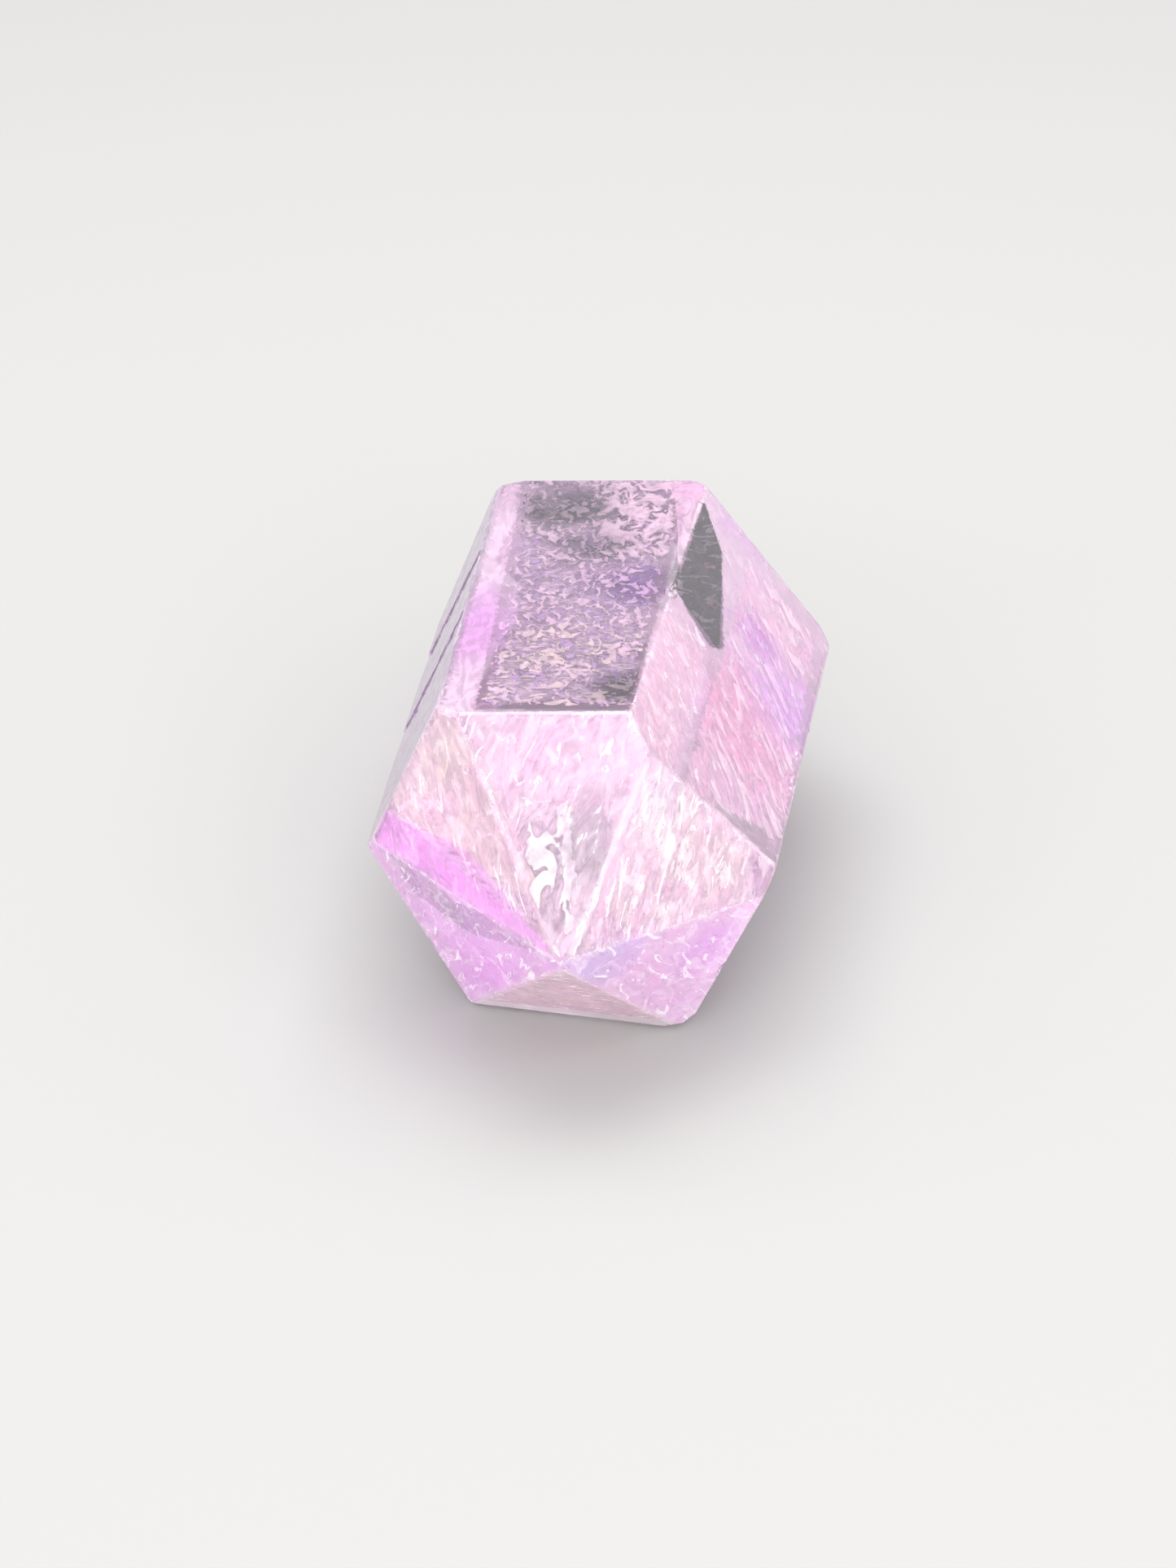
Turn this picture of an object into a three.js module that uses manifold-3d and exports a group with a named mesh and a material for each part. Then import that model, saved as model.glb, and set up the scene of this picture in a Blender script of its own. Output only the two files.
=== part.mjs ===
// A double-terminated amethyst: one quartz crystal with a six-faced tip at both ends.
//
// Millimetres, +Z up. The crystal lies on one of its prism faces with its long axis along Y. The tip
// that all six faces share evenly points along -Y, and the uneven, ridge-like one along +Y. The origin
// is on the surface that the crystal rests on, under the middle of its bounding box.
//
// The solid is made as the crystal is bounded: a blank is cut back to each natural face in turn, then
// the edges and corners are worn narrow, and growth treads, pits and chips are taken out of the faces.

import * as THREE from 'three';
import { mergeVertices } from 'three/addons/utils/BufferGeometryUtils.js';
import Module from 'manifold-3d';

// ---- Driving dimensions -------------------------------------------------------------------------

const NEAR = -1; // end at -Y
const FAR = 1; // end at +Y

const BLANK_RADIUS = 40;
const BLANK_LENGTH = 140;
const AXIS_HEIGHT = 17.5; // height of the long axis over the resting face

// A face is given by three numbers and the end that it looks towards.
// around: its direction about the long axis in degrees, 0 along +X and 90 up
// slope:  its angle from the cross-section in degrees, 90 where it is parallel to the long axis
// reach:  its distance from the heart of the crystal, a point on the long axis
const FACES = {
  top: { around: 92.2, slope: 89.6, end: FAR, reach: 18.0 },
  upperRight: { around: 39.8, slope: 88.9, end: NEAR, reach: 17.35 },
  lowerRight: { around: -25.7, slope: 88.2, end: NEAR, reach: 19.2 },
  underside: { around: -90, slope: 90, end: NEAR, reach: AXIS_HEIGHT },
  lowerLeft: { around: -151.5, slope: 88.2, end: FAR, reach: 17.25 },
  upperLeft: { around: 154.3, slope: 87.8, end: NEAR, reach: 20.25 },

  nearTop: { around: 90.8, slope: 48.8, end: NEAR, reach: 31.0 },
  nearUpperRight: { around: 29.1, slope: 52.4, end: NEAR, reach: 30.2 },
  nearLowerRight: { around: -29.2, slope: 48.2, end: NEAR, reach: 31.55 },
  nearBottom: { around: -96.4, slope: 48.4, end: NEAR, reach: 29.75 },
  nearLowerLeft: { around: -150.8, slope: 47.0, end: NEAR, reach: 29.5 },
  nearUpperLeft: { around: 150.7, slope: 44.8, end: NEAR, reach: 31.6 },

  farTop: { around: 92.0, slope: 49.0, end: FAR, reach: 35.0 },
  farUpperRight: { around: 34.0, slope: 48.8, end: FAR, reach: 33.4 },
  farLowerRight: { around: -28.0, slope: 47.5, end: FAR, reach: 32.6 },
  farBottom: { around: -91.0, slope: 49.5, end: FAR, reach: 33.4 },
  farLowerLeft: { around: -151.6, slope: 47.9, end: FAR, reach: 26.6 },
  farUpperLeft: { around: 149.0, slope: 49.0, end: FAR, reach: 37.2 },
};

// Worn width of the edges. Most edges are between the fine and the usual width.
const WORN_EDGE = 0.34;
const WORN_EDGE_SPREAD = 0.12;
const WIDE_EDGES = {
  'top|upperLeft': 0.68,
  'underside|nearBottom': 0.7,
  'upperRight|farUpperRight': 0.75,
  'nearTop|nearUpperRight': 0.6,
  'upperRight|lowerRight': 0.5,
};
const EDGE_FACETS = [0.25, 0.5, 0.75]; // each worn edge turns in three narrow steps
const OUTER_FACET_DEPTH = 0.62; // how deep the outer two go, as a share of the middle one

// Depth to which the corners are worn.
const WORN_CORNER = 0.22;
const WIDE_CORNERS = {
  'lowerRight|underside|nearLowerRight': 0.75,
  'underside|nearLowerRight|nearBottom': 0.6,
  'lowerRight|farUpperRight|farLowerRight': 0.45,
  'top|farTop|farUpperLeft': 0.35,
};

// Growth treads: shallow wedges that run across a whole face, nothing deep at their start and ending
// in a low step. at: where one starts along the face, from its middle towards the far end, run: how
// far it goes on, drop: its depth at the step, turn: its angle in the face
const TREADS = [
  { face: 'underside', at: -20.5, run: 4.6, drop: 0.16, turn: 2 },
  { face: 'underside', at: -14.7, run: 3.4, drop: 0.12, turn: -1 },
  { face: 'underside', at: -8.2, run: 5.2, drop: 0.18, turn: 1.5 },
  { face: 'underside', at: 3.8, run: 3.8, drop: 0.14, turn: -1 },
  { face: 'underside', at: 9.6, run: 5.0, drop: 0.2, turn: 0 },
  { face: 'underside', at: 17.0, run: 3.8, drop: 0.15, turn: 2 },
  { face: 'lowerRight', at: -15.5, run: 6.0, drop: 0.2, turn: 1 },
  { face: 'lowerRight', at: -4.5, run: 4.4, drop: 0.16, turn: -1.5 },
  { face: 'lowerRight', at: 4.0, run: 7.2, drop: 0.24, turn: 0.5 },
  { face: 'lowerRight', at: 17.0, run: 5.0, drop: 0.18, turn: -1 },
  { face: 'lowerLeft', at: -12.5, run: 5.2, drop: 0.18, turn: 0 },
  { face: 'lowerLeft', at: -2.0, run: 6.6, drop: 0.22, turn: 1.5 },
  { face: 'lowerLeft', at: 9.5, run: 4.4, drop: 0.16, turn: -1 },
  { face: 'upperLeft', at: -9.0, run: 5.6, drop: 0.14, turn: 1 },
  { face: 'upperLeft', at: 6.0, run: 6.4, drop: 0.16, turn: -0.5 },
  { face: 'farTop', at: -2.0, run: 5.2, drop: 0.22, turn: -6 },
  { face: 'farUpperRight', at: -3.0, run: 6.4, drop: 0.26, turn: 8 },
  { face: 'farLowerRight', at: -2.0, run: 7.4, drop: 0.3, turn: 10 },
  { face: 'farLowerLeft', at: -11.0, run: 8.0, drop: 0.34, turn: 4 },
  { face: 'farLowerLeft', at: -1.0, run: 6.4, drop: 0.26, turn: -5 },
  { face: 'farLowerLeft', at: 7.6, run: 4.0, drop: 0.18, turn: 7 },
];

// Small three-sided growth pits, placed from the middle of their face.
const PIT_DEPTH_SHARE = 0.28; // depth of a pit to its width
const PITS = [
  { face: 'nearTop', along: 8.4, across: -4.6, width: 0.7, turn: 20 },
  { face: 'nearUpperRight', along: 1.8, across: 3.4, width: 0.5, turn: 75 },
  { face: 'upperRight', along: 18.5, across: 8.2, width: 1.0, turn: 40 },
  { face: 'upperRight', along: -3.0, across: -4.0, width: 0.6, turn: 10 },
  { face: 'farTop', along: 5.6, across: 2.2, width: 1.0, turn: 30 },
  { face: 'farTop', along: -2.6, across: -4.8, width: 0.8, turn: 50 },
  { face: 'farUpperRight', along: 6.2, across: 1.0, width: 1.1, turn: 0 },
  { face: 'farLowerRight', along: 8.5, across: -1.0, width: 0.9, turn: 25 },
  { face: 'farLowerLeft', along: 4.0, across: 12.0, width: 1.3, turn: 80 },
  { face: 'farLowerLeft', along: -5.5, across: -13.0, width: 0.8, turn: 15 },
  { face: 'lowerLeft', along: 4.5, across: -8.6, width: 0.9, turn: 60 },
];

// Conchoidal chips on edges. edge: the two faces that meet there, at: place along the edge from its
// end nearest the near tip, 0 to 1, long: length along the edge, deep: how far in it bites, flat:
// which way the scoop lies, -1 along the first face and 1 along the second
const CHIPS = [
  { edge: ['top', 'upperRight'], at: 0.5, long: 3.4, deep: 0.95, flat: 0.5 },
  { edge: ['top', 'upperRight'], at: 0.42, long: 1.8, deep: 0.5, flat: 0.6 },
  { edge: ['top', 'upperRight'], at: 0.05, long: 1.6, deep: 0.45, flat: -0.1 },
  { edge: ['top', 'upperRight'], at: 0.93, long: 1.9, deep: 0.55, flat: 0.2 },
  { edge: ['upperRight', 'farUpperRight'], at: 0.63, long: 2.4, deep: 0.6, flat: -0.3 },
  { edge: ['upperRight', 'farUpperRight'], at: 0.14, long: 2.0, deep: 0.7, flat: -0.1 },
  { edge: ['upperLeft', 'farLowerLeft'], at: 0.12, long: 1.7, deep: 0.5, flat: 0.0 },
  { edge: ['nearLowerRight', 'nearUpperRight'], at: 0.78, long: 1.9, deep: 0.4, flat: -0.5 },
  { edge: ['nearLowerRight', 'lowerRight'], at: 0.55, long: 2.2, deep: 0.55, flat: 0.3 },
  { edge: ['nearLowerLeft', 'nearUpperLeft'], at: 0.7, long: 1.8, deep: 0.38, flat: -0.3 },
  { edge: ['nearLowerLeft', 'lowerLeft'], at: 0.6, long: 2.0, deep: 0.5, flat: 0.2 },
  { edge: ['lowerRight', 'underside'], at: 0.42, long: 3.2, deep: 0.7, flat: -0.6 },
  { edge: ['lowerRight', 'underside'], at: 0.78, long: 2.4, deep: 0.6, flat: -0.5 },
  { edge: ['lowerLeft', 'underside'], at: 0.3, long: 2.6, deep: 0.6, flat: -0.5 },
  { edge: ['farLowerLeft', 'farUpperRight'], at: 0.5, long: 2.4, deep: 0.7, flat: 0.2 },
  { edge: ['farLowerRight', 'farUpperRight'], at: 0.35, long: 2.8, deep: 0.7, flat: 0.4 },
  { edge: ['farLowerLeft', 'lowerLeft'], at: 0.45, long: 3.0, deep: 0.8, flat: 0.1 },
  { edge: ['farLowerLeft', 'farLowerRight'], at: 0.6, long: 2.2, deep: 0.55, flat: 0.3 },
];
const CHIP_WIDTH_SHARE = 0.66; // width of a chip's scoop to its length
const CHIP_ROUND_SHARE = 0.5; // depth of the whole scoop to its length
const LIP_SIZE_SHARE = 0.63; // the smaller second scoop beside each chip: its length to the first's
const LIP_DEPTH_SHARE = 0.5;
const LIP_PLACE_SHARE = 0.42; // how far along it lies, as a share of the chip's length

const AMETHYST = { color: '#d8b2df', roughness: 0.22, metalness: 0 };

const SPARE = 0.001; // two corners closer than this are one
const DEGREE = Math.PI / 180;

// ---- Planes, corners and edges of the natural faces ---------------------------------------------

// The outward normal and the reach of a face, with the heart of the crystal at the origin.
function planeOf({ around, slope, end, reach }) {
  const tilt = slope * DEGREE;
  const turn = around * DEGREE;
  const normal = new THREE.Vector3(
    Math.sin(tilt) * Math.cos(turn),
    end * Math.cos(tilt),
    Math.sin(tilt) * Math.sin(turn),
  );
  return { normal: normal.normalize(), reach };
}

// The point where three planes meet, or null where two of them are parallel.
function meetingPoint(a, b, c) {
  const bc = b.normal.clone().cross(c.normal);
  const spread = a.normal.dot(bc);
  if (Math.abs(spread) < 1e-6) {
    return null;
  }
  const ca = c.normal.clone().cross(a.normal);
  const ab = a.normal.clone().cross(b.normal);
  const point = bc.multiplyScalar(a.reach);
  point.addScaledVector(ca, b.reach);
  point.addScaledVector(ab, c.reach);
  return point.divideScalar(spread);
}

// Every corner of the solid that the planes bound, each with the names of the faces that meet there.
function cornersOf(planes) {
  const names = Object.keys(planes);
  const corners = [];
  for (let i = 0; i < names.length; i += 1) {
    for (let j = i + 1; j < names.length; j += 1) {
      for (let k = j + 1; k < names.length; k += 1) {
        const point = meetingPoint(planes[names[i]], planes[names[j]], planes[names[k]]);
        const inside = point && names.every((name) => (
          planes[name].normal.dot(point) < planes[name].reach + SPARE
        ));
        if (inside) {
          corners.push({ point, faces: [names[i], names[j], names[k]] });
        }
      }
    }
  }
  return corners;
}

// Gives each plane the middle of its face: the average of the corners on it.
function markMiddles(planes, corners) {
  Object.entries(planes).forEach(([name, plane]) => {
    const own = corners.filter(({ faces }) => faces.includes(name));
    plane.middle = new THREE.Vector3();
    own.forEach(({ point }) => plane.middle.addScaledVector(point, 1 / own.length));
  });
}

// Every edge between two faces, by the names of the two, from its end nearest the near tip to the other.
function edgesOf(planes, corners) {
  const names = Object.keys(planes);
  const edges = new Map();
  names.forEach((first, index) => {
    names.slice(index + 1).forEach((second) => {
      const ends = corners
        .filter(({ faces }) => faces.includes(first) && faces.includes(second))
        .map(({ point }) => point)
        .sort((a, b) => a.y - b.y);
      const start = ends[0];
      const end = ends[ends.length - 1];
      if (ends.length >= 2 && start.distanceTo(end) > SPARE * 10) {
        edges.set(`${first}|${second}`, { first, second, start, end });
      }
    });
  });
  return edges;
}

// ---- Solids -------------------------------------------------------------------------------------

const wasm = await Module();
wasm.setup();

function solidOf(geometry) {
  geometry.deleteAttribute('normal');
  geometry.deleteAttribute('uv');
  const merged = mergeVertices(geometry, 1e-5);
  return new wasm.Manifold(new wasm.Mesh({
    numProp: 3,
    vertProperties: new Float32Array(merged.attributes.position.array),
    triVerts: new Uint32Array(merged.index.array),
  }));
}

function geometryOf(solid) {
  const mesh = solid.getMesh();
  const geometry = new THREE.BufferGeometry();
  geometry.setAttribute('position', new THREE.BufferAttribute(new Float32Array(mesh.vertProperties), 3));
  geometry.setIndex(new THREE.BufferAttribute(new Uint32Array(mesh.triVerts), 1));
  return geometry;
}

// A frame on a face, from its middle: x across it, y along it towards the far end, z out of it.
function faceFrame(plane) {
  const out = plane.normal;
  const across = new THREE.Vector3(0, 1, 0).cross(out).normalize();
  const along = out.clone().cross(across);
  const origin = plane.middle ?? out.clone().multiplyScalar(plane.reach);
  return new THREE.Matrix4().makeBasis(across, along, out).setPosition(origin);
}

// Takes away all that lies beyond a plane, with a block that stands on it.
function cutBeyond(solid, plane) {
  const block = new THREE.BoxGeometry(BLANK_LENGTH * 2, BLANK_LENGTH * 2, BLANK_LENGTH);
  block.translate(0, 0, BLANK_LENGTH / 2);
  block.applyMatrix4(faceFrame(plane));
  return solid.subtract(solidOf(block));
}

// The narrow planes of a worn edge: they turn evenly from one face to the other.
function wornEdgePlanes(planes, { first, second, start }, width) {
  const a = planes[first].normal;
  const b = planes[second].normal;
  const turn = a.angleTo(b);
  const halfDepth = (width * Math.tan(turn / 2)) / 2;
  return EDGE_FACETS.map((share) => {
    const normal = a.clone().lerp(b, share).normalize();
    const depth = halfDepth * (share === 0.5 ? 1 : OUTER_FACET_DEPTH);
    return { normal, reach: normal.dot(start) - depth };
  });
}

// An even but varied number from 0 to 1 for each step, so that no two edges are worn alike.
function variety(step) {
  const golden = 0.618034;
  return (step * golden) % 1;
}

function wearEdges(solid, planes, edges) {
  let worn = solid;
  let step = 0;
  edges.forEach((edge, name) => {
    step += 1;
    const width = WIDE_EDGES[name] ?? WORN_EDGE + WORN_EDGE_SPREAD * (variety(step) - 0.5);
    wornEdgePlanes(planes, edge, width).forEach((plane) => {
      worn = cutBeyond(worn, plane);
    });
  });
  return worn;
}

function wearCorners(solid, planes, corners) {
  let worn = solid;
  corners.forEach(({ point, faces }) => {
    const normal = new THREE.Vector3();
    faces.forEach((name) => normal.add(planes[name].normal));
    normal.normalize();
    const depth = WIDE_CORNERS[faces.join('|')] ?? WORN_CORNER;
    worn = cutBeyond(worn, { normal, reach: normal.dot(point) - depth });
  });
  return worn;
}

// A wedge out of a face, wider than the face: nothing at its start, and a low step at its end.
function cutTread(solid, plane, { at, run, drop, turn }) {
  const wedge = new THREE.BoxGeometry(BLANK_RADIUS * 2, run, run);
  wedge.translate(0, run / 2, run / 2);
  wedge.applyMatrix4(new THREE.Matrix4().makeRotationX(-Math.atan2(drop, run)));
  wedge.applyMatrix4(new THREE.Matrix4().makeRotationZ(turn * DEGREE));
  wedge.translate(0, at, 0);
  wedge.applyMatrix4(faceFrame(plane));
  return solid.subtract(solidOf(wedge));
}

// A shallow three-sided pyramid, point down, sunk in a face.
function cutPit(solid, plane, { along, across, width, turn }) {
  const deep = PIT_DEPTH_SHARE * width;
  const pyramid = new THREE.ConeGeometry(width, deep * 2, 3);
  pyramid.applyMatrix4(new THREE.Matrix4().makeRotationX(-Math.PI / 2));
  pyramid.applyMatrix4(new THREE.Matrix4().makeRotationZ(turn * DEGREE));
  pyramid.translate(across, along, 0);
  pyramid.applyMatrix4(faceFrame(plane));
  return solid.subtract(solidOf(pyramid));
}

// One shell-shaped scoop: an ellipsoid laid along an edge, so far out that it bites in by deep.
function scoop(planes, { first, second, start, end }, { at, long, deep, flat }) {
  const out = planes[first].normal.clone().lerp(planes[second].normal, (flat + 1) / 2).normalize();
  const along = end.clone().sub(start).normalize();
  const side = out.clone().cross(along).normalize();
  const round = long * CHIP_ROUND_SHARE;
  const centre = start.clone().lerp(end, at).addScaledVector(out, round - deep);
  const ball = new THREE.SphereGeometry(1, 18, 12);
  ball.scale(long / 2, (long * CHIP_WIDTH_SHARE) / 2, round);
  ball.applyMatrix4(new THREE.Matrix4().makeBasis(along, side, out).setPosition(centre));
  return solidOf(ball);
}

function cutChip(solid, planes, edges, chip) {
  const edge = edges.get(chip.edge.join('|')) ?? edges.get([...chip.edge].reverse().join('|'));
  const length = edge.start.distanceTo(edge.end);
  const lip = {
    ...chip,
    at: chip.at + (chip.long * LIP_PLACE_SHARE) / length,
    long: chip.long * LIP_SIZE_SHARE,
    deep: chip.deep * LIP_DEPTH_SHARE,
  };
  return solid.subtract(scoop(planes, edge, chip)).subtract(scoop(planes, edge, lip));
}

// ---- The crystal --------------------------------------------------------------------------------

function crystalGeometry() {
  const planes = Object.fromEntries(Object.entries(FACES).map(([name, face]) => [name, planeOf(face)]));
  const corners = cornersOf(planes);
  const edges = edgesOf(planes, corners);
  markMiddles(planes, corners);

  const blank = new THREE.CylinderGeometry(BLANK_RADIUS, BLANK_RADIUS, BLANK_LENGTH, 6);
  let solid = solidOf(blank);
  Object.values(planes).forEach((plane) => {
    solid = cutBeyond(solid, plane);
  });
  TREADS.forEach((tread) => {
    solid = cutTread(solid, planes[tread.face], tread);
  });
  solid = wearEdges(solid, planes, edges);
  solid = wearCorners(solid, planes, corners);
  PITS.forEach((pit) => {
    solid = cutPit(solid, planes[pit.face], pit);
  });
  CHIPS.forEach((chip) => {
    solid = cutChip(solid, planes, edges, chip);
  });
  return geometryOf(solid);
}

// Moves a geometry so that the origin is under the middle of its box, at its lowest point.
function standOnOrigin(geometry) {
  geometry.computeBoundingBox();
  const { min, max } = geometry.boundingBox;
  geometry.translate(-(min.x + max.x) / 2, -(min.y + max.y) / 2, -min.z);
  geometry.computeVertexNormals();
  return geometry;
}

const crystal = new THREE.Mesh(standOnOrigin(crystalGeometry()), new THREE.MeshStandardMaterial(AMETHYST));
crystal.name = 'amethyst_crystal';

const amethyst = new THREE.Group();
amethyst.add(crystal);

export default amethyst;
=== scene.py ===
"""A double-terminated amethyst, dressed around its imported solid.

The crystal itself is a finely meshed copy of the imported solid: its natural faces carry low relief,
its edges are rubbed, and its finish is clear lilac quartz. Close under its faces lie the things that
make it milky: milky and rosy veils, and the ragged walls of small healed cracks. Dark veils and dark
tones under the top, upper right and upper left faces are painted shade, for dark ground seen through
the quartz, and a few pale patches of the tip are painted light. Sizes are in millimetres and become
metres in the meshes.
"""

import logging
import math
from dataclasses import dataclass, field
from enum import Enum

import bmesh
import bpy
import numpy as np
from mathutils import Matrix, Vector
from mathutils.geometry import delaunay_2d_cdt


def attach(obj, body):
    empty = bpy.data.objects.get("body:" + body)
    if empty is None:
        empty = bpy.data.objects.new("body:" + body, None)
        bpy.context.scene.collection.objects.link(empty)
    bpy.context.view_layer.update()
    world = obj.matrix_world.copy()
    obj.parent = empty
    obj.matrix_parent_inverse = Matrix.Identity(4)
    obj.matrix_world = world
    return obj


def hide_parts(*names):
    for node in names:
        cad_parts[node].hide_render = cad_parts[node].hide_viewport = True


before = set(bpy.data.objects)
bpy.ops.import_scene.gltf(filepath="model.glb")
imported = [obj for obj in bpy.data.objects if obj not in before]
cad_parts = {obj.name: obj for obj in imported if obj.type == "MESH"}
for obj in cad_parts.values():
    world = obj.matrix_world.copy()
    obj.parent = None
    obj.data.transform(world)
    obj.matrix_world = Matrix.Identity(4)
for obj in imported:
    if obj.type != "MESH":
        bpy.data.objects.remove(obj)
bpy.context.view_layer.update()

MM = 0.001
NODE = "amethyst_crystal"
BODY = "root"
TINY = 1e-12  # stands for a length or rise of 0 in a division
BLOCK = 1_000_000  # pairs of a place and a side that are worked out at once
LEAST_LEVEL = 0.004  # a cut keeps at least this far from a sheet's own points
WAVE_LENGTHS = (0.6, 1.7)  # a ripple's shortest and longest wave, as shares of its size

Pair = tuple[float, float]
Array = np.ndarray

log = logging.getLogger("amethyst")


# ---- Colours, nodes and meshes ------------------------------------------------------------------


def linear(code: str) -> tuple[float, float, float, float]:
    """Turns an sRGB hex colour to linear light.

    Args:
        code: The colour, such as "#e3c0dc".

    Returns:
        Linear red, green and blue, and an alpha of 1.
    """
    shares = [int(code[i : i + 2], 16) / 255 for i in (1, 3, 5)]
    red, green, blue = (((s + 0.055) / 1.055) ** 2.4 if s > 0.04045 else s / 12.92 for s in shares)
    return red, green, blue, 1.0


def add_node(
    tree: bpy.types.NodeTree, kind: str, inputs: dict[str | int, object] | None = None, **settings: object
) -> bpy.types.Node:
    """Adds a shader node with its inputs and settings.

    Args:
        tree: The node tree it goes in.
        kind: The node's type name, without the leading "ShaderNode".
        inputs: Values of its sockets by name or number. A socket of another node makes a link, and
            a node itself stands for its first output.
        settings: Values of the node's own properties.

    Returns:
        The new node.
    """
    node = tree.nodes.new("ShaderNode" + kind)
    for name, value in settings.items():
        setattr(node, name, value)
    for name, value in (inputs or {}).items():
        source = value.outputs[0] if isinstance(value, bpy.types.Node) else value
        if isinstance(source, bpy.types.NodeSocket):
            tree.links.new(source, node.inputs[name])
        else:
            node.inputs[name].default_value = source
    return node


def new_material(name: str) -> tuple[bpy.types.Material, bpy.types.NodeTree]:
    """Makes an empty material.

    Args:
        name: The material's name.

    Returns:
        The material, and its node tree with no nodes yet.
    """
    material = bpy.data.materials.new(name)
    material.use_nodes = True
    material.node_tree.nodes.clear()
    return material, material.node_tree


def new_object(name: str, data: bpy.types.ID) -> bpy.types.Object:
    """Makes an object of a mesh, light or camera, and links it to the scene.

    Args:
        name: The object's name.
        data: What it shows.

    Returns:
        The new object, at the origin.
    """
    made = bpy.data.objects.new(name, data)
    bpy.context.scene.collection.objects.link(made)
    return made


def store(rows: bpy.types.bpy_prop_collection, name: str, values: Array) -> None:
    """Fills one property of a mesh's points, corners or attribute with numbers."""
    rows.foreach_set(name, values.astype(np.float32).ravel())


def write_colours(mesh: bpy.types.Mesh, name: str, domain: str, colours: Array) -> None:
    """Stores linear colours as an attribute of a mesh, one row for each point or corner."""
    store(mesh.color_attributes.new(name, "FLOAT_COLOR", domain).data, "color", colours)


def write_streaks(mesh: bpy.types.Mesh, places: Array) -> None:
    """Stores each corner's place in the streak pattern, in millimetres, as a UV map."""
    store(mesh.uv_layers.new(name="streaks").data, "uv", places)


def mesh_points(mesh: bpy.types.Mesh) -> Array:
    """Reads a mesh's points, one row each, in millimetres."""
    flat = np.empty(len(mesh.vertices) * 3, dtype=np.float32)
    mesh.vertices.foreach_get("co", flat)
    return flat.reshape(-1, 3).astype(float) / MM


def mesh_piece(name: str, points: Array, corners: Array) -> bpy.types.Object:
    """Puts arrays into a mesh object that sits at the origin.

    Args:
        name: The piece's name.
        points: Vertex places in millimetres, one row each.
        corners: Vertex numbers of the faces, one row for each face.

    Returns:
        The new object, linked to the scene.
    """
    mesh = bpy.data.meshes.new(name)
    count, sides = corners.shape
    mesh.vertices.add(len(points))
    store(mesh.vertices, "co", points * MM)
    mesh.loops.add(count * sides)
    mesh.loops.foreach_set("vertex_index", corners.astype(np.int32).ravel())
    mesh.polygons.add(count)
    mesh.polygons.foreach_set("loop_start", np.arange(0, count * sides, sides, dtype=np.int32))
    mesh.polygons.foreach_set("use_smooth", np.ones(count, dtype=bool))
    mesh.update(calc_edges=True)
    mesh.validate()
    return new_object(name, mesh)


def ripples(points: Array, size: float, seed: int, waves: int = 18) -> Array:
    """Smooth uneven height over space, from about -1 to 1.

    It is half the sum of many sine waves over the root of half their number, each wave with its
    own direction, phase and length.

    Args:
        points: Places in millimetres, one row each.
        size: Usual length of a wave in millimetres.
        seed: Number that the directions and phases are drawn from.
        waves: How many waves are added up.

    Returns:
        One height for each place.
    """
    rng = np.random.default_rng(seed)
    directions = rng.normal(size=(waves, points.shape[1]))
    directions /= np.linalg.norm(directions, axis=1, keepdims=True)
    lengths = size * rng.uniform(*WAVE_LENGTHS, waves)
    phases = rng.uniform(0, 2 * math.pi, waves)
    angles = points @ (directions * (2 * math.pi / lengths)[:, None]).T + phases
    return np.sin(angles).sum(axis=1) / math.sqrt(waves * 0.5) * 0.5


def mixed_ripples(points: Array, parts: tuple[Pair, ...], seed: int) -> Array:
    """Adds up ripples of several sizes.

    Args:
        points: Places, one row each.
        parts: The share and the size of each.
        seed: Number that the first is drawn from; the next ones follow on from it.

    Returns:
        One height for each place.
    """
    return sum(share * ripples(points, size, seed + i) for i, (share, size) in enumerate(parts))


@dataclass(frozen=True)
class Swell:
    """A middle value and how far ripples swing it, with their usual size in millimetres and seed."""

    middle: float
    swing: float
    size: float
    seed: int

    def values(self, points: Array) -> Array:
        """The value at each place."""
        return self.middle + self.swing * ripples(points, self.size, self.seed)


@dataclass(frozen=True)
class Creases:
    """Smooth ground cut by sharp ridges: 1 less the absolute height of ripples, raised to a power.

    depth is its height in millimetres, squeeze what each axis is multiplied by first (below 1 it
    stretches the ridges along that axis), size the usual length of a ripple in millimetres, seed
    the number that the ripples are drawn from, and power what makes the ridges narrow.
    """

    depth: float
    squeeze: tuple[float, float, float]
    size: float
    seed: int
    power: int

    def shares(self, points: Array) -> Array:
        """The ground's height at each place, as a share of its depth."""
        height = ripples(points * np.array(self.squeeze), self.size, self.seed)
        return np.clip(1 - np.abs(height), 0, 1) ** self.power


def smooth_step(low: float, high: float, value: Array) -> Array:
    """Rises smoothly from 0 at low to 1 at high."""
    share = np.clip((value - low) / (high - low), 0, 1)
    return share * share * (3 - 2 * share)


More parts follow.
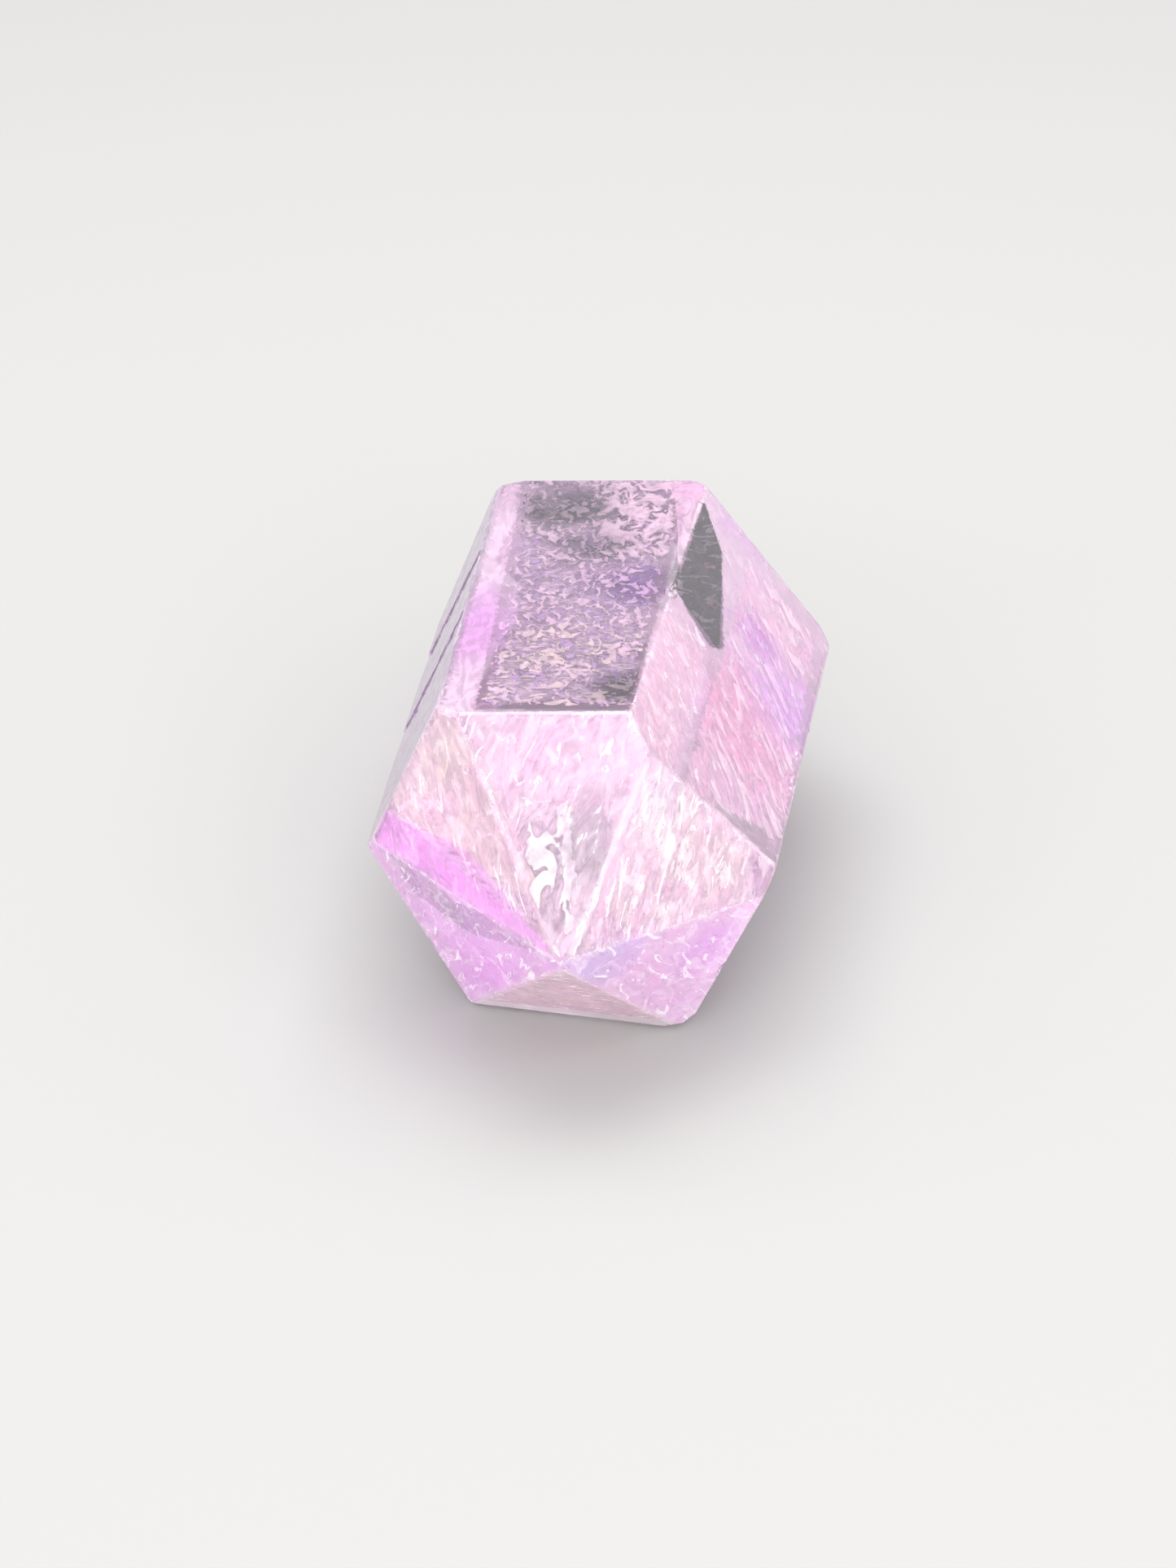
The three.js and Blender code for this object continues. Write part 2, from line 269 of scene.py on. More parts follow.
def outline_reach(spots: Array, outline: Array) -> Array:
    """How far flat places lie inside a closed outline, below 0 outside it.

    The distance to the nearest side of the outline gets a plus where a line from the place
    crosses the outline an odd number of times, and a minus elsewhere.

    Args:
        spots: Flat places, one row each.
        outline: The outline's corners in order, one row each.

    Returns:
        Signed distances.
    """
    end = np.roll(outline, -1, axis=0)
    side = end - outline
    length = np.maximum((side**2).sum(axis=1), TINY)
    rise = np.where(side[:, 1] == 0, TINY, side[:, 1])
    reach = np.empty(len(spots))
    for block in np.array_split(np.arange(len(spots)), 1 + len(spots) * len(outline) // BLOCK):
        spot = spots[block][:, None, :]
        straddles = (outline[:, 1] > spot[..., 1]) != (end[:, 1] > spot[..., 1])
        crossing = outline[:, 0] + (spot[..., 1] - outline[:, 1]) / rise * side[:, 0]
        odd = (straddles & (spot[..., 0] < crossing)).sum(axis=1) % 2 == 1
        share = np.clip(((spot - outline) * side).sum(axis=2) / length, 0, 1)
        away = np.linalg.norm(spot - (outline + share[..., None] * side), axis=2).min(axis=1)
        reach[block] = np.where(odd, away, -away)
    return reach


def lens_share(level: Array, steepness: float) -> Array:
    """How thick a lens is at each point, from 0 to 1: the root of its level times the steepness."""
    return np.sqrt(np.clip(level * steepness, 0, 1))[:, None]


def off_zero(level: Array) -> Array:
    """Moves levels that are all but 0 off it, each to its own side."""
    return np.where(np.abs(level) < LEAST_LEVEL, np.where(level < 0, -LEAST_LEVEL, LEAST_LEVEL), level)


def cut_at_level(points: Array, triangles: Array, level: Array) -> tuple[Array, Array, Array]:
    """Keeps the part of a sheet where a level is above 0, cut smoothly along its 0 line.

    A triangle with all three corners above stays whole. One with a single corner above gives a
    smaller triangle, and one with two gives a quadrilateral in two triangles. Each new corner
    is where the level, taken as straight along a side, passes 0.

    Args:
        points: The sheet's points, one row each, with any further values to carry along.
        triangles: Its triangles.
        level: One level for each point.

    Returns:
        The kept points, triangles and levels.
    """
    above = level > 0
    count = above[triangles].sum(axis=1)
    lone, pair = triangles[count == 1], triangles[count == 2]
    first = np.concatenate([above[lone].argmax(axis=1), (~above[pair]).argmax(axis=1)])
    mixed = np.concatenate([lone, pair])
    a, b, c = (mixed[np.arange(len(mixed)), (first + turn) % 3] for turn in range(3))
    sides = np.sort(np.concatenate([np.stack([a, b], axis=1), np.stack([a, c], axis=1)]), axis=1)
    cuts, number = np.unique(sides, axis=0, return_inverse=True)
    number = number.ravel() + len(points)
    share = (level[cuts[:, 0]] / (level[cuts[:, 0]] - level[cuts[:, 1]]))[:, None]
    fresh = points[cuts[:, 0]] * (1 - share) + points[cuts[:, 1]] * share
    ab, ac = number[: len(mixed)], number[len(mixed) :]
    one, two = slice(None, len(lone)), slice(len(lone), None)
    kept = np.concatenate(
        [
            triangles[count == 3],
            np.stack([a[one], ab[one], ac[one]], axis=1),
            np.stack([ab[two], b[two], c[two]], axis=1),
            np.stack([ab[two], c[two], ac[two]], axis=1),
        ]
    )
    used, renumbered = np.unique(kept, return_inverse=True)
    all_points = np.concatenate([points, fresh])
    all_levels = np.concatenate([level, np.zeros(len(fresh))])
    return all_points[used], renumbered.reshape(-1, 3), np.clip(all_levels[used], 0, None)


def closed_skin(name: str, points: Array, triangles: Array, half: Array, level: Array) -> bpy.types.Object:
    """Makes a thin closed body of a cut sheet: its two sides meet along the cut rim.

    Args:
        name: The piece's name.
        points: The sheet's points in millimetres.
        triangles: Its triangles.
        half: How far the upper side lies from each point; the lower side lies as far below.
        level: Each point's level, 0 on the rim.

    Returns:
        The new piece. Its points are the upper side's, then the lower side's without the rim.
    """
    inner = np.flatnonzero(level > 0)
    lower = np.arange(len(points))
    lower[inner] = len(points) + np.arange(len(inner))
    both = np.concatenate([points + half, (points - half)[inner]])
    return mesh_piece(name, both, np.concatenate([triangles, lower[triangles][:, ::-1]]))


# ---- The natural faces --------------------------------------------------------------------------


class End(Enum):
    """Which end of the crystal a face looks towards."""

    NEAR = -1
    FAR = 1


class Relief(Enum):
    """The low relief that a natural face carries."""

    POLISHED = "polished"
    STRIATED = "striated"
    GROOVED = "grooved"
    CRINKLED = "crinkled"
    HILLY = "hilly"


@dataclass(frozen=True)
class Facet:
    """One natural face.

    around is its direction about the long axis (0 along +X, 90 up) and slope its angle from the
    cross-section, both in degrees. tone is its colour; on the upper left face it is painted shade, and
    on the downward near faces it is lightened as painted light. streak is the direction of its streaks,
    in degrees from the line across the face, frost how rubbed it is, from 0 to 1, and clear the share of
    light that its skin lets through, lowered on the downward near faces as painted light.
    """

    around: float
    slope: float
    end: End
    tone: str
    streak: float
    frost: float
    clear: float
    relief: Relief

    def normal(self) -> Array:
        """Works out the face's outward direction.

        Returns:
            A vector of length 1.
        """
        turn, tilt = math.radians(self.around), math.radians(self.slope)
        flat = math.sin(tilt)
        return np.array([flat * math.cos(turn), self.end.value * math.cos(tilt), flat * math.sin(turn)])


FACETS = {
    "top": Facet(92.2, 89.6, End.FAR, "#fff0fc", 0, 0.25, 0.86, Relief.POLISHED),
    "upper_right": Facet(39.8, 88.9, End.NEAR, "#fde2f2", 127, 0.45, 0.80, Relief.POLISHED),
    "lower_right": Facet(-25.7, 88.2, End.NEAR, "#f4d2f4", 0, 0.60, 0.75, Relief.STRIATED),
    "underside": Facet(-90, 90, End.NEAR, "#f8e2f6", 0, 0.50, 0.80, Relief.CRINKLED),
    "lower_left": Facet(-151.5, 88.2, End.FAR, "#f3d4f8", 0, 0.60, 0.75, Relief.STRIATED),
    # Painted shade: the upper left face's dark tone and low clear share stand for dark surroundings seen in
    # it.
    "upper_left": Facet(154.3, 87.8, End.NEAR, "#9c84a4", 80, 0.20, 0.40, Relief.GROOVED),
    "near_top": Facet(90.8, 48.8, End.NEAR, "#f3deea", 72, 0.60, 0.80, Relief.HILLY),
    "near_upper_right": Facet(29.1, 52.4, End.NEAR, "#f7e2eb", 124, 0.90, 0.74, Relief.HILLY),
    # Partly painted light: these three downward near faces keep their pink and violet colours, but their
    # tones are lightened and their clear shares lowered, for light passing through the tip.
    "near_lower_right": Facet(-29.2, 48.2, End.NEAR, "#fcdbf8", 62, 0.74, 0.61, Relief.HILLY),
    "near_bottom": Facet(-96.4, 48.4, End.NEAR, "#ffdcea", 8, 0.80, 0.48, Relief.HILLY),
    "near_lower_left": Facet(-150.8, 47.0, End.NEAR, "#fdc8ff", 118, 0.74, 0.54, Relief.HILLY),
    "near_upper_left": Facet(150.7, 44.8, End.NEAR, "#f7e1ea", 60, 0.70, 0.76, Relief.HILLY),
    "far_top": Facet(92.0, 49.0, End.FAR, "#f9eaf6", 95, 0.80, 0.78, Relief.HILLY),
    "far_upper_right": Facet(34.0, 48.8, End.FAR, "#fbe6f5", 75, 0.80, 0.75, Relief.HILLY),
    "far_lower_right": Facet(-28.0, 47.5, End.FAR, "#f6daf7", 100, 0.80, 0.75, Relief.HILLY),
    "far_bottom": Facet(-91.0, 49.5, End.FAR, "#f4d8f2", 90, 0.80, 0.75, Relief.HILLY),
    "far_lower_left": Facet(-151.6, 47.9, End.FAR, "#f3cff8", 80, 0.80, 0.75, Relief.HILLY),
    "far_upper_left": Facet(149.0, 49.0, End.FAR, "#f7e2f5", 90, 0.80, 0.75, Relief.HILLY),
}


class FaceFrames:
    """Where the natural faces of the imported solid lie, worked out from its points."""

    ON_FACE = 0.02  # a point this near a face's plane is on it, in millimetres

    def __init__(self, points: Array) -> None:
        """Finds each face's plane, and its own axes from the middle of its extent.

        Args:
            points: The solid's points in millimetres.
        """
        self.names = list(FACETS)
        self.normals = np.array([FACETS[name].normal() for name in self.names])
        self.reaches = (points @ self.normals.T).max(axis=0)
        self.across = np.cross([0.0, 1.0, 0.0], self.normals)
        self.across /= np.linalg.norm(self.across, axis=1, keepdims=True)
        self.along = np.cross(self.normals, self.across)
        self.middles = np.array([self._middle(points, i) for i in range(len(self.names))])

    def _middle(self, points: Array, index: int) -> Array:
        """Finds the middle of one face's extent across and along itself.

        Args:
            points: The solid's points in millimetres.
            index: The face's number.

        Returns:
            A place on the face.
        """
        own = points[points @ self.normals[index] > self.reaches[index] - self.ON_FACE]
        middle = self.normals[index] * self.reaches[index]
        for axis in (self.across[index], self.along[index]):
            spread = own @ axis
            middle = middle + axis * ((spread.min() + spread.max()) / 2 - middle @ axis)
        return middle

    def depths(self, points: Array) -> Array:
        """How far each point lies below each face's plane, one column for each face."""
        return self.reaches - points @ self.normals.T

    def axes(self, face: str) -> tuple[Array, Array, Array, Array]:
        """A face's middle, and its directions across, along and out."""
        i = self.names.index(face)
        return self.middles[i], self.across[i], self.along[i], self.normals[i]


# ---- Finishes -----------------------------------------------------------------------------------


@dataclass(frozen=True)
class Spot:
    """A patch of another tone, fading out from its centre over its radius in millimetres."""

    centre: Pair
    radius: float
    tone: str
    strength: float = 0.8

    HEART = 0.25  # the share of its radius within which it has its full strength


def spread_tones(base: str, spots: tuple[Spot, ...], flat: Array, seed: int) -> Array:
    """Colours places on a face.

    The base tone is mixed with each spot's tone by its strength, falling smoothly with distance
    from its centre. Broad and small ripples stretch and shrink that distance, so that a spot is
    uneven.

    Args:
        base: The tone where no spot reaches.
        spots: The spots, later ones over earlier ones.
        flat: Places across and along the face in millimetres, one row each.
        seed: Number that the ripples are drawn from.

    Returns:
        Linear colours with an alpha of 1, one row each.
    """
    tones = np.tile(np.array(linear(base)), (len(flat), 1))
    uneven = 1 + 0.25 * ripples(flat, 5.0, seed) + 0.18 * ripples(flat, 1.4, seed + 50)
    for spot in spots:
        away = np.linalg.norm(flat - spot.centre, axis=1) * uneven
        share = spot.strength * (1 - smooth_step(spot.HEART * spot.radius, spot.radius, away))
        tones += share[:, None] * (np.array(linear(spot.tone)) - tones)
    return tones


@dataclass(frozen=True)
class Phantom:
    """A growth phantom: a region of one face with another tone and a clear, uneven border.

    strength is how much of its tone shows, and frost and clear are as for a face. outline holds its
    corners, across and along the face from its middle, in millimetres. Not every region is a phantom:
    some tones are painted shade, and some painted light.
    """

    face: str
    tone: str
    strength: float
    frost: float
    clear: float
    outline: tuple[Pair, ...]
    spots: tuple[Spot, ...] = ()


@dataclass(frozen=True)
class Marks:
    """A layer of small marks in the skin.

    width and length are a mark's size in millimetres, levels the noise between which it fades in,
    curl how much it bends, and strength how much of its colour shows on a fully frosted face. A
    bright mark also holds light back, and stands a little proud.
    """

    width: float
    length: float
    levels: Pair
    curl: float
    colour: str
    strength: float
    bright: bool = False


@dataclass(frozen=True)
class RubbedAmethyst:
    """Natural amethyst, rubbed smooth: clear lilac quartz with a milky, streaky skin.

    It gives the eye a pale see-through body, deeper where it is thick, with small curled streaks
    that follow each face, phantoms with clear borders, and edges gone white with wear. wear_cover
    and wear_rub are how much a worn edge is whitened and roughened, milkiness how much light a bright
    mark holds back, rough the roughness of clean and fully rubbed skin, and bump the strength of
    the marks' relief and its height in millimetres. border gives a phantom border's unevenness and
    half its blur, and border_grain the lobes in a millimetre of it.
    """

    wear: str = "#fff4fb"
    wear_cover: float = 0.6
    wear_rub: float = 0.7
    absorption: str = "#e79fe2"
    density: float = 7.0
    ior: float = 1.544
    milkiness: float = 0.25
    rough: Pair = (0.03, 0.34)
    bump: Pair = (0.3, 0.06)
    border: Pair = (0.9, 0.12)
    border_grain: float = 1.1
    marks: tuple[Marks, ...] = (
        Marks(3.6, 6.0, (0.42, 0.66), 0.4, "#efb8e4", 0.45),
        Marks(1.6, 3.0, (0.52, 0.68), 0.7, "#fff8fc", 0.55, bright=True),
        Marks(0.9, 3.0, (0.635, 0.67), 0.7, "#ffffff", 0.95, bright=True),
        Marks(0.5, 1.1, (0.58, 0.66), 0.5, "#fffafd", 0.60),
        Marks(1.0, 2.2, (0.63, 0.68), 1.0, "#b387b8", 0.40),
        Marks(0.55, 1.2, (0.62, 0.68), 0.6, "#a87fae", 0.45),
    )

    def material(self) -> bpy.types.Material:
        """Builds the material from the body's own attributes: tone, phantom, finish and streaks.

        Returns:
            The new material.
        """
        material, tree = new_material("rubbed_amethyst")
        finish = add_node(tree, "VertexColor", layer_name="finish")
        frost, wear, clear = add_node(tree, "SeparateColor", {0: finish}).outputs
        place = add_node(tree, "UVMap", uv_map="streaks")
        layers = [self._layer(tree, place, marks, frost) for marks in self.marks]
        colour = self._tone(tree, place)
        for share, marks in zip(layers, self.marks):
            colour = self._mix(tree, share, colour, linear(marks.colour))
        edge = add_node(tree, "Math", {0: wear, 1: self.wear_cover}, operation="MULTIPLY")
        colour = self._mix(tree, edge, colour, linear(self.wear))
        first, second = (layer for layer, marks in zip(layers, self.marks) if marks.bright)
        bright = add_node(tree, "Math", {0: first, 1: second}, operation="ADD", use_clamp=True)
        worn = {0: wear, 1: self.wear_rub, 2: bright}
        rubbed = add_node(tree, "Math", worn, operation="MULTIPLY_ADD", use_clamp=True)
        clean, rough = self.rough
        roughness = add_node(tree, "MapRange", {0: rubbed, 1: 0.0, 2: 1.0, 3: clean, 4: rough})
        strength, height = self.bump
        bump = add_node(tree, "Bump", {"Strength": strength, "Distance": height * MM, "Height": bright})
        held = add_node(tree, "Math", {0: bright, 1: self.milkiness}, operation="MULTIPLY")
        passed = add_node(tree, "Math", {0: clear, 1: held}, operation="SUBTRACT", use_clamp=True)
        skin = {
            "Base Color": colour,
            "Roughness": roughness,
            "IOR": self.ior,
            "Transmission Weight": passed,
            "Normal": bump,
        }
        shader = add_node(tree, "BsdfPrincipled", skin)
        lilac = {"Color": linear(self.absorption), "Density": self.density}
        absorb = add_node(tree, "VolumeAbsorption", lilac)
        add_node(tree, "OutputMaterial", {"Surface": shader, "Volume": absorb})
        return material

    @staticmethod
    def _layer(
        tree: bpy.types.NodeTree, place: bpy.types.Node, marks: Marks, frost: bpy.types.NodeSocket
    ) -> bpy.types.Node:
        """Adds one layer of marks, drawn from noise in the streak pattern.

        Args:
            tree: The material's node tree.
            place: The node that gives streak places.
            marks: The layer.
            frost: The face's frost.

        Returns:
            The node that gives the layer's share, from 0 to its strength where fully frosted.
        """
        scale = (1 / marks.width, 1 / marks.length, 1)
        drawn = add_node(tree, "Mapping", {"Vector": place, "Scale": scale})
        pattern = {"Vector": drawn, "Scale": 1.0, "Detail": 3.0, "Roughness": 0.6, "Distortion": marks.curl}
        noise = add_node(tree, "TexNoise", pattern, noise_dimensions="2D")
        low, high = marks.levels
        share = add_node(tree, "MapRange", {0: noise, 1: low, 2: high, 4: marks.strength})
        return add_node(tree, "Math", {0: share, 1: frost}, operation="MULTIPLY")

    def _tone(self, tree: bpy.types.NodeTree, place: bpy.types.Node) -> bpy.types.NodeSocket:
        """Adds the face's tone, with the phantom's tone inside its uneven border.

        Args:
            tree: The material's node tree.
            place: The node that gives streak places.

        Returns:
            The socket that gives the tone.
        """
        tone = add_node(tree, "VertexColor", layer_name="tone")
        phantom = add_node(tree, "VertexColor", layer_name="phantom_and_painted_tone")
        inside = add_node(tree, "Attribute", attribute_name="phantom_reach").outputs["Fac"]
        pattern = {"Vector": place, "Scale": self.border_grain, "Detail": 4.0}
        noise = add_node(tree, "TexNoise", pattern, noise_dimensions="2D")
        width, blur = self.border
        uneven = add_node(tree, "Math", {0: noise, 1: width, 2: inside}, operation="MULTIPLY_ADD")
        edge = {0: uneven, 1: width / 2 - blur, 2: width / 2 + blur, 4: 1.0}
        share = add_node(tree, "MapRange", edge, interpolation_type="SMOOTHSTEP")
        held = add_node(tree, "Math", {0: share, 1: phantom.outputs["Alpha"]}, operation="MULTIPLY")
        return self._mix(tree, held, tone, phantom)

    @staticmethod
    def _mix(
        tree: bpy.types.NodeTree, share: bpy.types.Node, first: object, second: object
    ) -> bpy.types.NodeSocket:
        """Mixes two colours by a share, and returns the socket that gives the result."""
        return add_node(tree, "Mix", {"Factor": share, 6: first, 7: second}, data_type="RGBA").outputs[2]


@dataclass(frozen=True)
class HealedFracture:
    """The walls of tiny healed cracks: pale, bright and a little glossy.

    It gives the eye white, cream and lilac glints inside the clear quartz. patch is the size of its
    deeper patches in millimetres, levels the noise between which they fade in, and deeper the tone
    left in them.
    """

    roughness: float = 0.3
    patch: float = 1.4
    levels: Pair = (0.45, 0.65)
    deeper: float = 0.72

    def material(self) -> bpy.types.Material:
        """Builds the material: the piece's own tones, a little deeper in patches.

        Returns:
            The new material.
        """
        material, tree = new_material("healed_fracture")
        place = add_node(tree, "TexCoord").outputs["Object"]
        tone = add_node(tree, "VertexColor", layer_name="tone")
        noise = add_node(tree, "TexNoise", {"Vector": place, "Scale": 1 / (self.patch * MM), "Detail": 3.0})
        low, high = self.levels
        share = add_node(tree, "MapRange", {0: noise, 1: low, 2: high, 3: 1.0, 4: self.deeper})
        colour = add_node(tree, "VectorMath", {0: tone, "Scale": share}, operation="SCALE")
        shader = add_node(tree, "BsdfPrincipled", {"Base Color": colour, "Roughness": self.roughness})
        add_node(tree, "OutputMaterial", {"Surface": shader})
        return material


@dataclass(frozen=True)
class CloudedQuartz:
    """A thin clouded layer of quartz, full of bubbles or smoky: thick in streaks, thin between.

    It gives the eye a milky depth below the polished face; the dark ones are painted shade, sheets
    that stand for dark ground seen through the quartz. streak holds a streak's width and length in
    millimetres, thickness its alpha at its thinnest and thickest, deeper the tone left in its thin
    places, and curl how much its streaks bend. levels and depth_levels are the noise between which it
    grows thick and pale.
    """

    name: str
    streak: Pair
    thickness: Pair
    deeper: float
    curl: float = 1.2
    roughness: float = 0.5
    levels: Pair = (0.40, 0.60)
    depth_levels: Pair = (0.42, 0.60)

    def material(self) -> bpy.types.Material:
        """Builds the material: the piece's own tones, with streaks in its alpha and its depth.

        Returns:
            The new material.
        """
        material, tree = new_material(self.name)
        place = add_node(tree, "UVMap", uv_map="streaks")
        held = add_node(tree, "VertexColor", layer_name="tone")
        scale = (1 / self.streak[0], 1 / self.streak[1], 1)
        drawn = add_node(tree, "Mapping", {"Vector": place, "Scale": scale})
        pattern = {"Vector": drawn, "Scale": 1.0, "Detail": 5.0, "Roughness": 0.62, "Distortion": self.curl}
        noise = add_node(tree, "TexNoise", pattern, noise_dimensions="2D")
        (thin, thick), (low, high) = self.thickness, self.levels
        cloud = add_node(tree, "MapRange", {0: noise, 1: low, 2: high, 3: thin, 4: thick})
        alpha = add_node(tree, "Math", {0: cloud, 1: held.outputs["Alpha"]}, operation="MULTIPLY")
        low, high = self.depth_levels
        depth = add_node(tree, "MapRange", {0: noise, 1: low, 2: high, 3: self.deeper, 4: 1.0})
        colour = add_node(tree, "VectorMath", {0: held, "Scale": depth}, operation="SCALE")
        skin = {"Base Color": colour, "Roughness": self.roughness, "Alpha": alpha}
        shader = add_node(tree, "BsdfPrincipled", skin)
        add_node(tree, "OutputMaterial", {"Surface": shader})
        return material


# ---- The crystal --------------------------------------------------------------------------------


@dataclass
class Crystal:
    """The quartz body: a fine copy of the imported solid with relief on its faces.

    spacing is the mesh's usual step on a face. The relief is fine striations across the prism
    faces, grooves along them, the crinkles of the underside and low hills on the tips. All of it goes
    inwards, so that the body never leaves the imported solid, and fade is where it starts and is
    full, measured from a face's edge. worn is where the wear starts to fade and where it ends. A
    bruise needs the wear bruise_wear, and lies bruise_depth under the surface. Lengths are in
    millimetres.
    """

    source: bpy.types.Object
    finish: RubbedAmethyst
    spots: dict[str, tuple[Spot, ...]]
    phantoms: tuple[Phantom, ...]
    spacing: float = 0.45
    striations: Creases = Creases(0.035, (0.22, 1.0, 0.22), 0.9, 11, 3)
    grooves: Creases = Creases(0.09, (1.0, 0.14, 1.0), 1.1, 16, 2)
    crinkles: Creases = Creases(0.16, (0.45, 1.0, 1.0), 1.3, 13, 2)
    crinkle_patches: Swell = Swell(0.6, 0.4, 6.0, 14)
    hill_depth: float = 0.05
    hills: Swell = Swell(0.5, 0.5, 3.6, 15)
    waviness_depth: float = 0.012
    waviness: Swell = Swell(0.5, 0.5, 4.5, 12)
    fade: Pair = (0.15, 1.2)
    worn: Pair = (0.1, 0.4)
    worn_unevenly: Swell = Swell(0.85, 0.3, 3.0, 21)
    worn_patches: Swell = Swell(0.62, 0.5, 6.0, 22)
    bruise_wear: float = 0.82
    bruise_patches: Swell = Swell(0.0, 0.25, 1.6, 25)
    bruise_depth: float = 0.07
    bruise_half: float = 0.03
    bruise_tone: str = "#f6dcec"
    smooth_angle: float = math.radians(22)
    faces: FaceFrames = field(init=False)
    surface: tuple[Array, Array, Array] = field(init=False)

    MERGE = 0.004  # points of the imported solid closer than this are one, in millimetres
    FLAT = math.radians(0.15)  # neighbours turned less than this are one face
    SMALL = 1.5  # a face under this many square steps gets no points inside
    CLEARANCE = 0.45  # how far a point inside keeps from its face's edge, in steps
    INSIDE_ONLY, CLOSE = 1, 1e-7  # the triangulation's output type, and when its points are one
    BESIDE_Y = 0.9  # a face that looks along Y by less than this gets its axes from Y, others from X
    HILL_SQUEEZE = np.array([0.7, 0.5, 1.0])  # what each axis is multiplied by, so that hills are long
    TURNING = 0.4  # how near an edge the way inwards turns to the next face's, in millimetres
    BRUISE_STEEPNESS = 3.0  # how fast a bruise thickens from its rim
    TONE_SEED, PHANTOM_SEED = 23, 41  # numbers that the unevenness of spots is drawn from
    STREAKS_APART = np.array([37.0, 11.0])  # step from one face's streak places to the next one's
    FAR_OUT = -9.0  # reach of a corner that no phantom is near, in millimetres

    def __post_init__(self) -> None:
        """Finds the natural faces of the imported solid."""
        self.faces = FaceFrames(mesh_points(self.source.data))

    def build(self) -> bpy.types.Object:
        """Builds the body and its finish.

        Returns:
            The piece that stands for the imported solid.
        """
        points, triangles = self._refined()
        depths = self.faces.depths(points)
        order = np.argsort(depths, axis=1)
        nearest = order[:, 0]
        rows = np.arange(len(points))
        gap = depths[rows, order[:, 1]] - depths[rows, nearest]
        points = points - self.faces.normals[nearest] * self._relief(points, nearest, gap)[:, None]
        piece = mesh_piece("amethyst_body", points, triangles)
        self.surface = (points, triangles, self._wear(points, gap))
        self._write_finish(piece.data)
        piece.data.set_sharp_from_angle(angle=self.smooth_angle)
        piece.data.materials.append(self.finish.material())
        return piece

    def _refined(self) -> tuple[Array, Array]:
        """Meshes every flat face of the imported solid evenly.

        Flat neighbours are joined to one face, long edges are parted at even steps, and each
        face's inside gets a lattice of points that a Delaunay triangulation joins to its edges.

        Returns:
            Points in millimetres and triangles.
        """
        form = bmesh.new()
        form.from_mesh(self.source.data)
        bmesh.ops.remove_doubles(form, verts=form.verts, dist=self.MERGE * MM)
        whole = {"verts": form.verts, "edges": form.edges}
        bmesh.ops.dissolve_limit(form, angle_limit=self.FLAT, use_dissolve_boundaries=False, **whole)
        bmesh.ops.dissolve_degenerate(form, dist=self.MERGE * MM, edges=form.edges)
        form.verts.ensure_lookup_table()
        form.verts.index_update()
        joined = bpy.data.meshes.new("joined_faces")
        form.to_mesh(joined)
        points = list(mesh_points(joined))
        bpy.data.meshes.remove(joined)
        steps: dict[tuple[int, int], list[int]] = {}
        for edge in form.edges:
            first, second = (vertex.index for vertex in edge.verts)
            parts = max(1, math.ceil(edge.calc_length() / MM / self.spacing))
            shares = np.linspace(0, 1, parts + 1)[1:-1]
            steps[first, second] = list(range(len(points), len(points) + len(shares)))
            steps[second, first] = steps[first, second][::-1]
            points.extend(points[first] * (1 - s) + points[second] * s for s in shares)
        triangles = []
        for face in form.faces:
            corners = [vertex.index for vertex in face.verts]
            ring = []
            for start, end in zip(corners, corners[1:] + corners[:1]):
                ring.extend([start, *steps[start, end]])
            outline = np.array([points[i] for i in ring])
            inner, own = self._filled(outline, np.array(face.normal), face.calc_area() / MM**2)
            numbers = np.array(ring + list(range(len(points), len(points) + len(inner))))
            points.extend(inner)
            triangles.append(numbers[own])
        form.free()
        return np.array(points), np.concatenate(triangles)

    def _filled(self, ring: Array, out: Array, area: float) -> tuple[Array, Array]:
        """Fills one flat outline with evenly spaced points and triangles.

        The outline is laid flat. A lattice of rows, a height of half a root of three steps apart
        and every second one shifted by half a step, gives the points inside. An outline that
        closes on itself, as a sliver does, gets a fan from its first point.

        Args:
            ring: The outline's points in millimetres.
            out: The face's outward direction.
            area: The face's area in square millimetres.

        Returns:
            The points inside, and triangles that number the outline first and then those points.
        """
        helper = np.array([0.0, 1.0, 0.0] if abs(out[1]) < self.BESIDE_Y else [1.0, 0.0, 0.0])
        right = np.cross(helper, out)
        right /= np.linalg.norm(right)
        up = np.cross(out, right)
        flat = np.stack([ring @ right, ring @ up], axis=1)
        level = float(ring[0] @ out)
        inside = np.empty((0, 2))
        if area > self.SMALL * self.spacing**2:
            low, high = flat.min(axis=0), flat.max(axis=0)
            across = np.arange(low[0], high[0], self.spacing)
            rows = np.arange(low[1], high[1], self.spacing * math.sqrt(0.75))
            grid = np.stack(np.meshgrid(across, rows), axis=-1)
            grid[1::2, :, 0] += self.spacing / 2
            lattice = grid.reshape(-1, 2)
            inside = lattice[outline_reach(lattice, flat) > self.CLEARANCE * self.spacing]
        outline = self._bowed(flat)
        spots = np.concatenate([outline, inside])
        places, border = [Vector(spot) for spot in spots], [list(range(len(flat)))]
        result = delaunay_2d_cdt(places, [], border, self.INSIDE_ONLY, self.CLOSE, True)
        used = np.array([(origin or [-1])[0] for origin in result[3]])
        own = used[np.array(result[2])] if result[2] else np.empty((0, 3), dtype=int)
        own = own[outline_reach(spots[own].mean(axis=1), outline) > 0]
        if len(own) != len(ring) + 2 * len(inside) - 2:
            number = np.arange(1, len(ring) - 1)
            return np.empty((0, 3)), np.stack([np.zeros_like(number), number, number + 1], axis=1)
        return inside[:, :1] * right + inside[:, 1:] * up + out * level, own

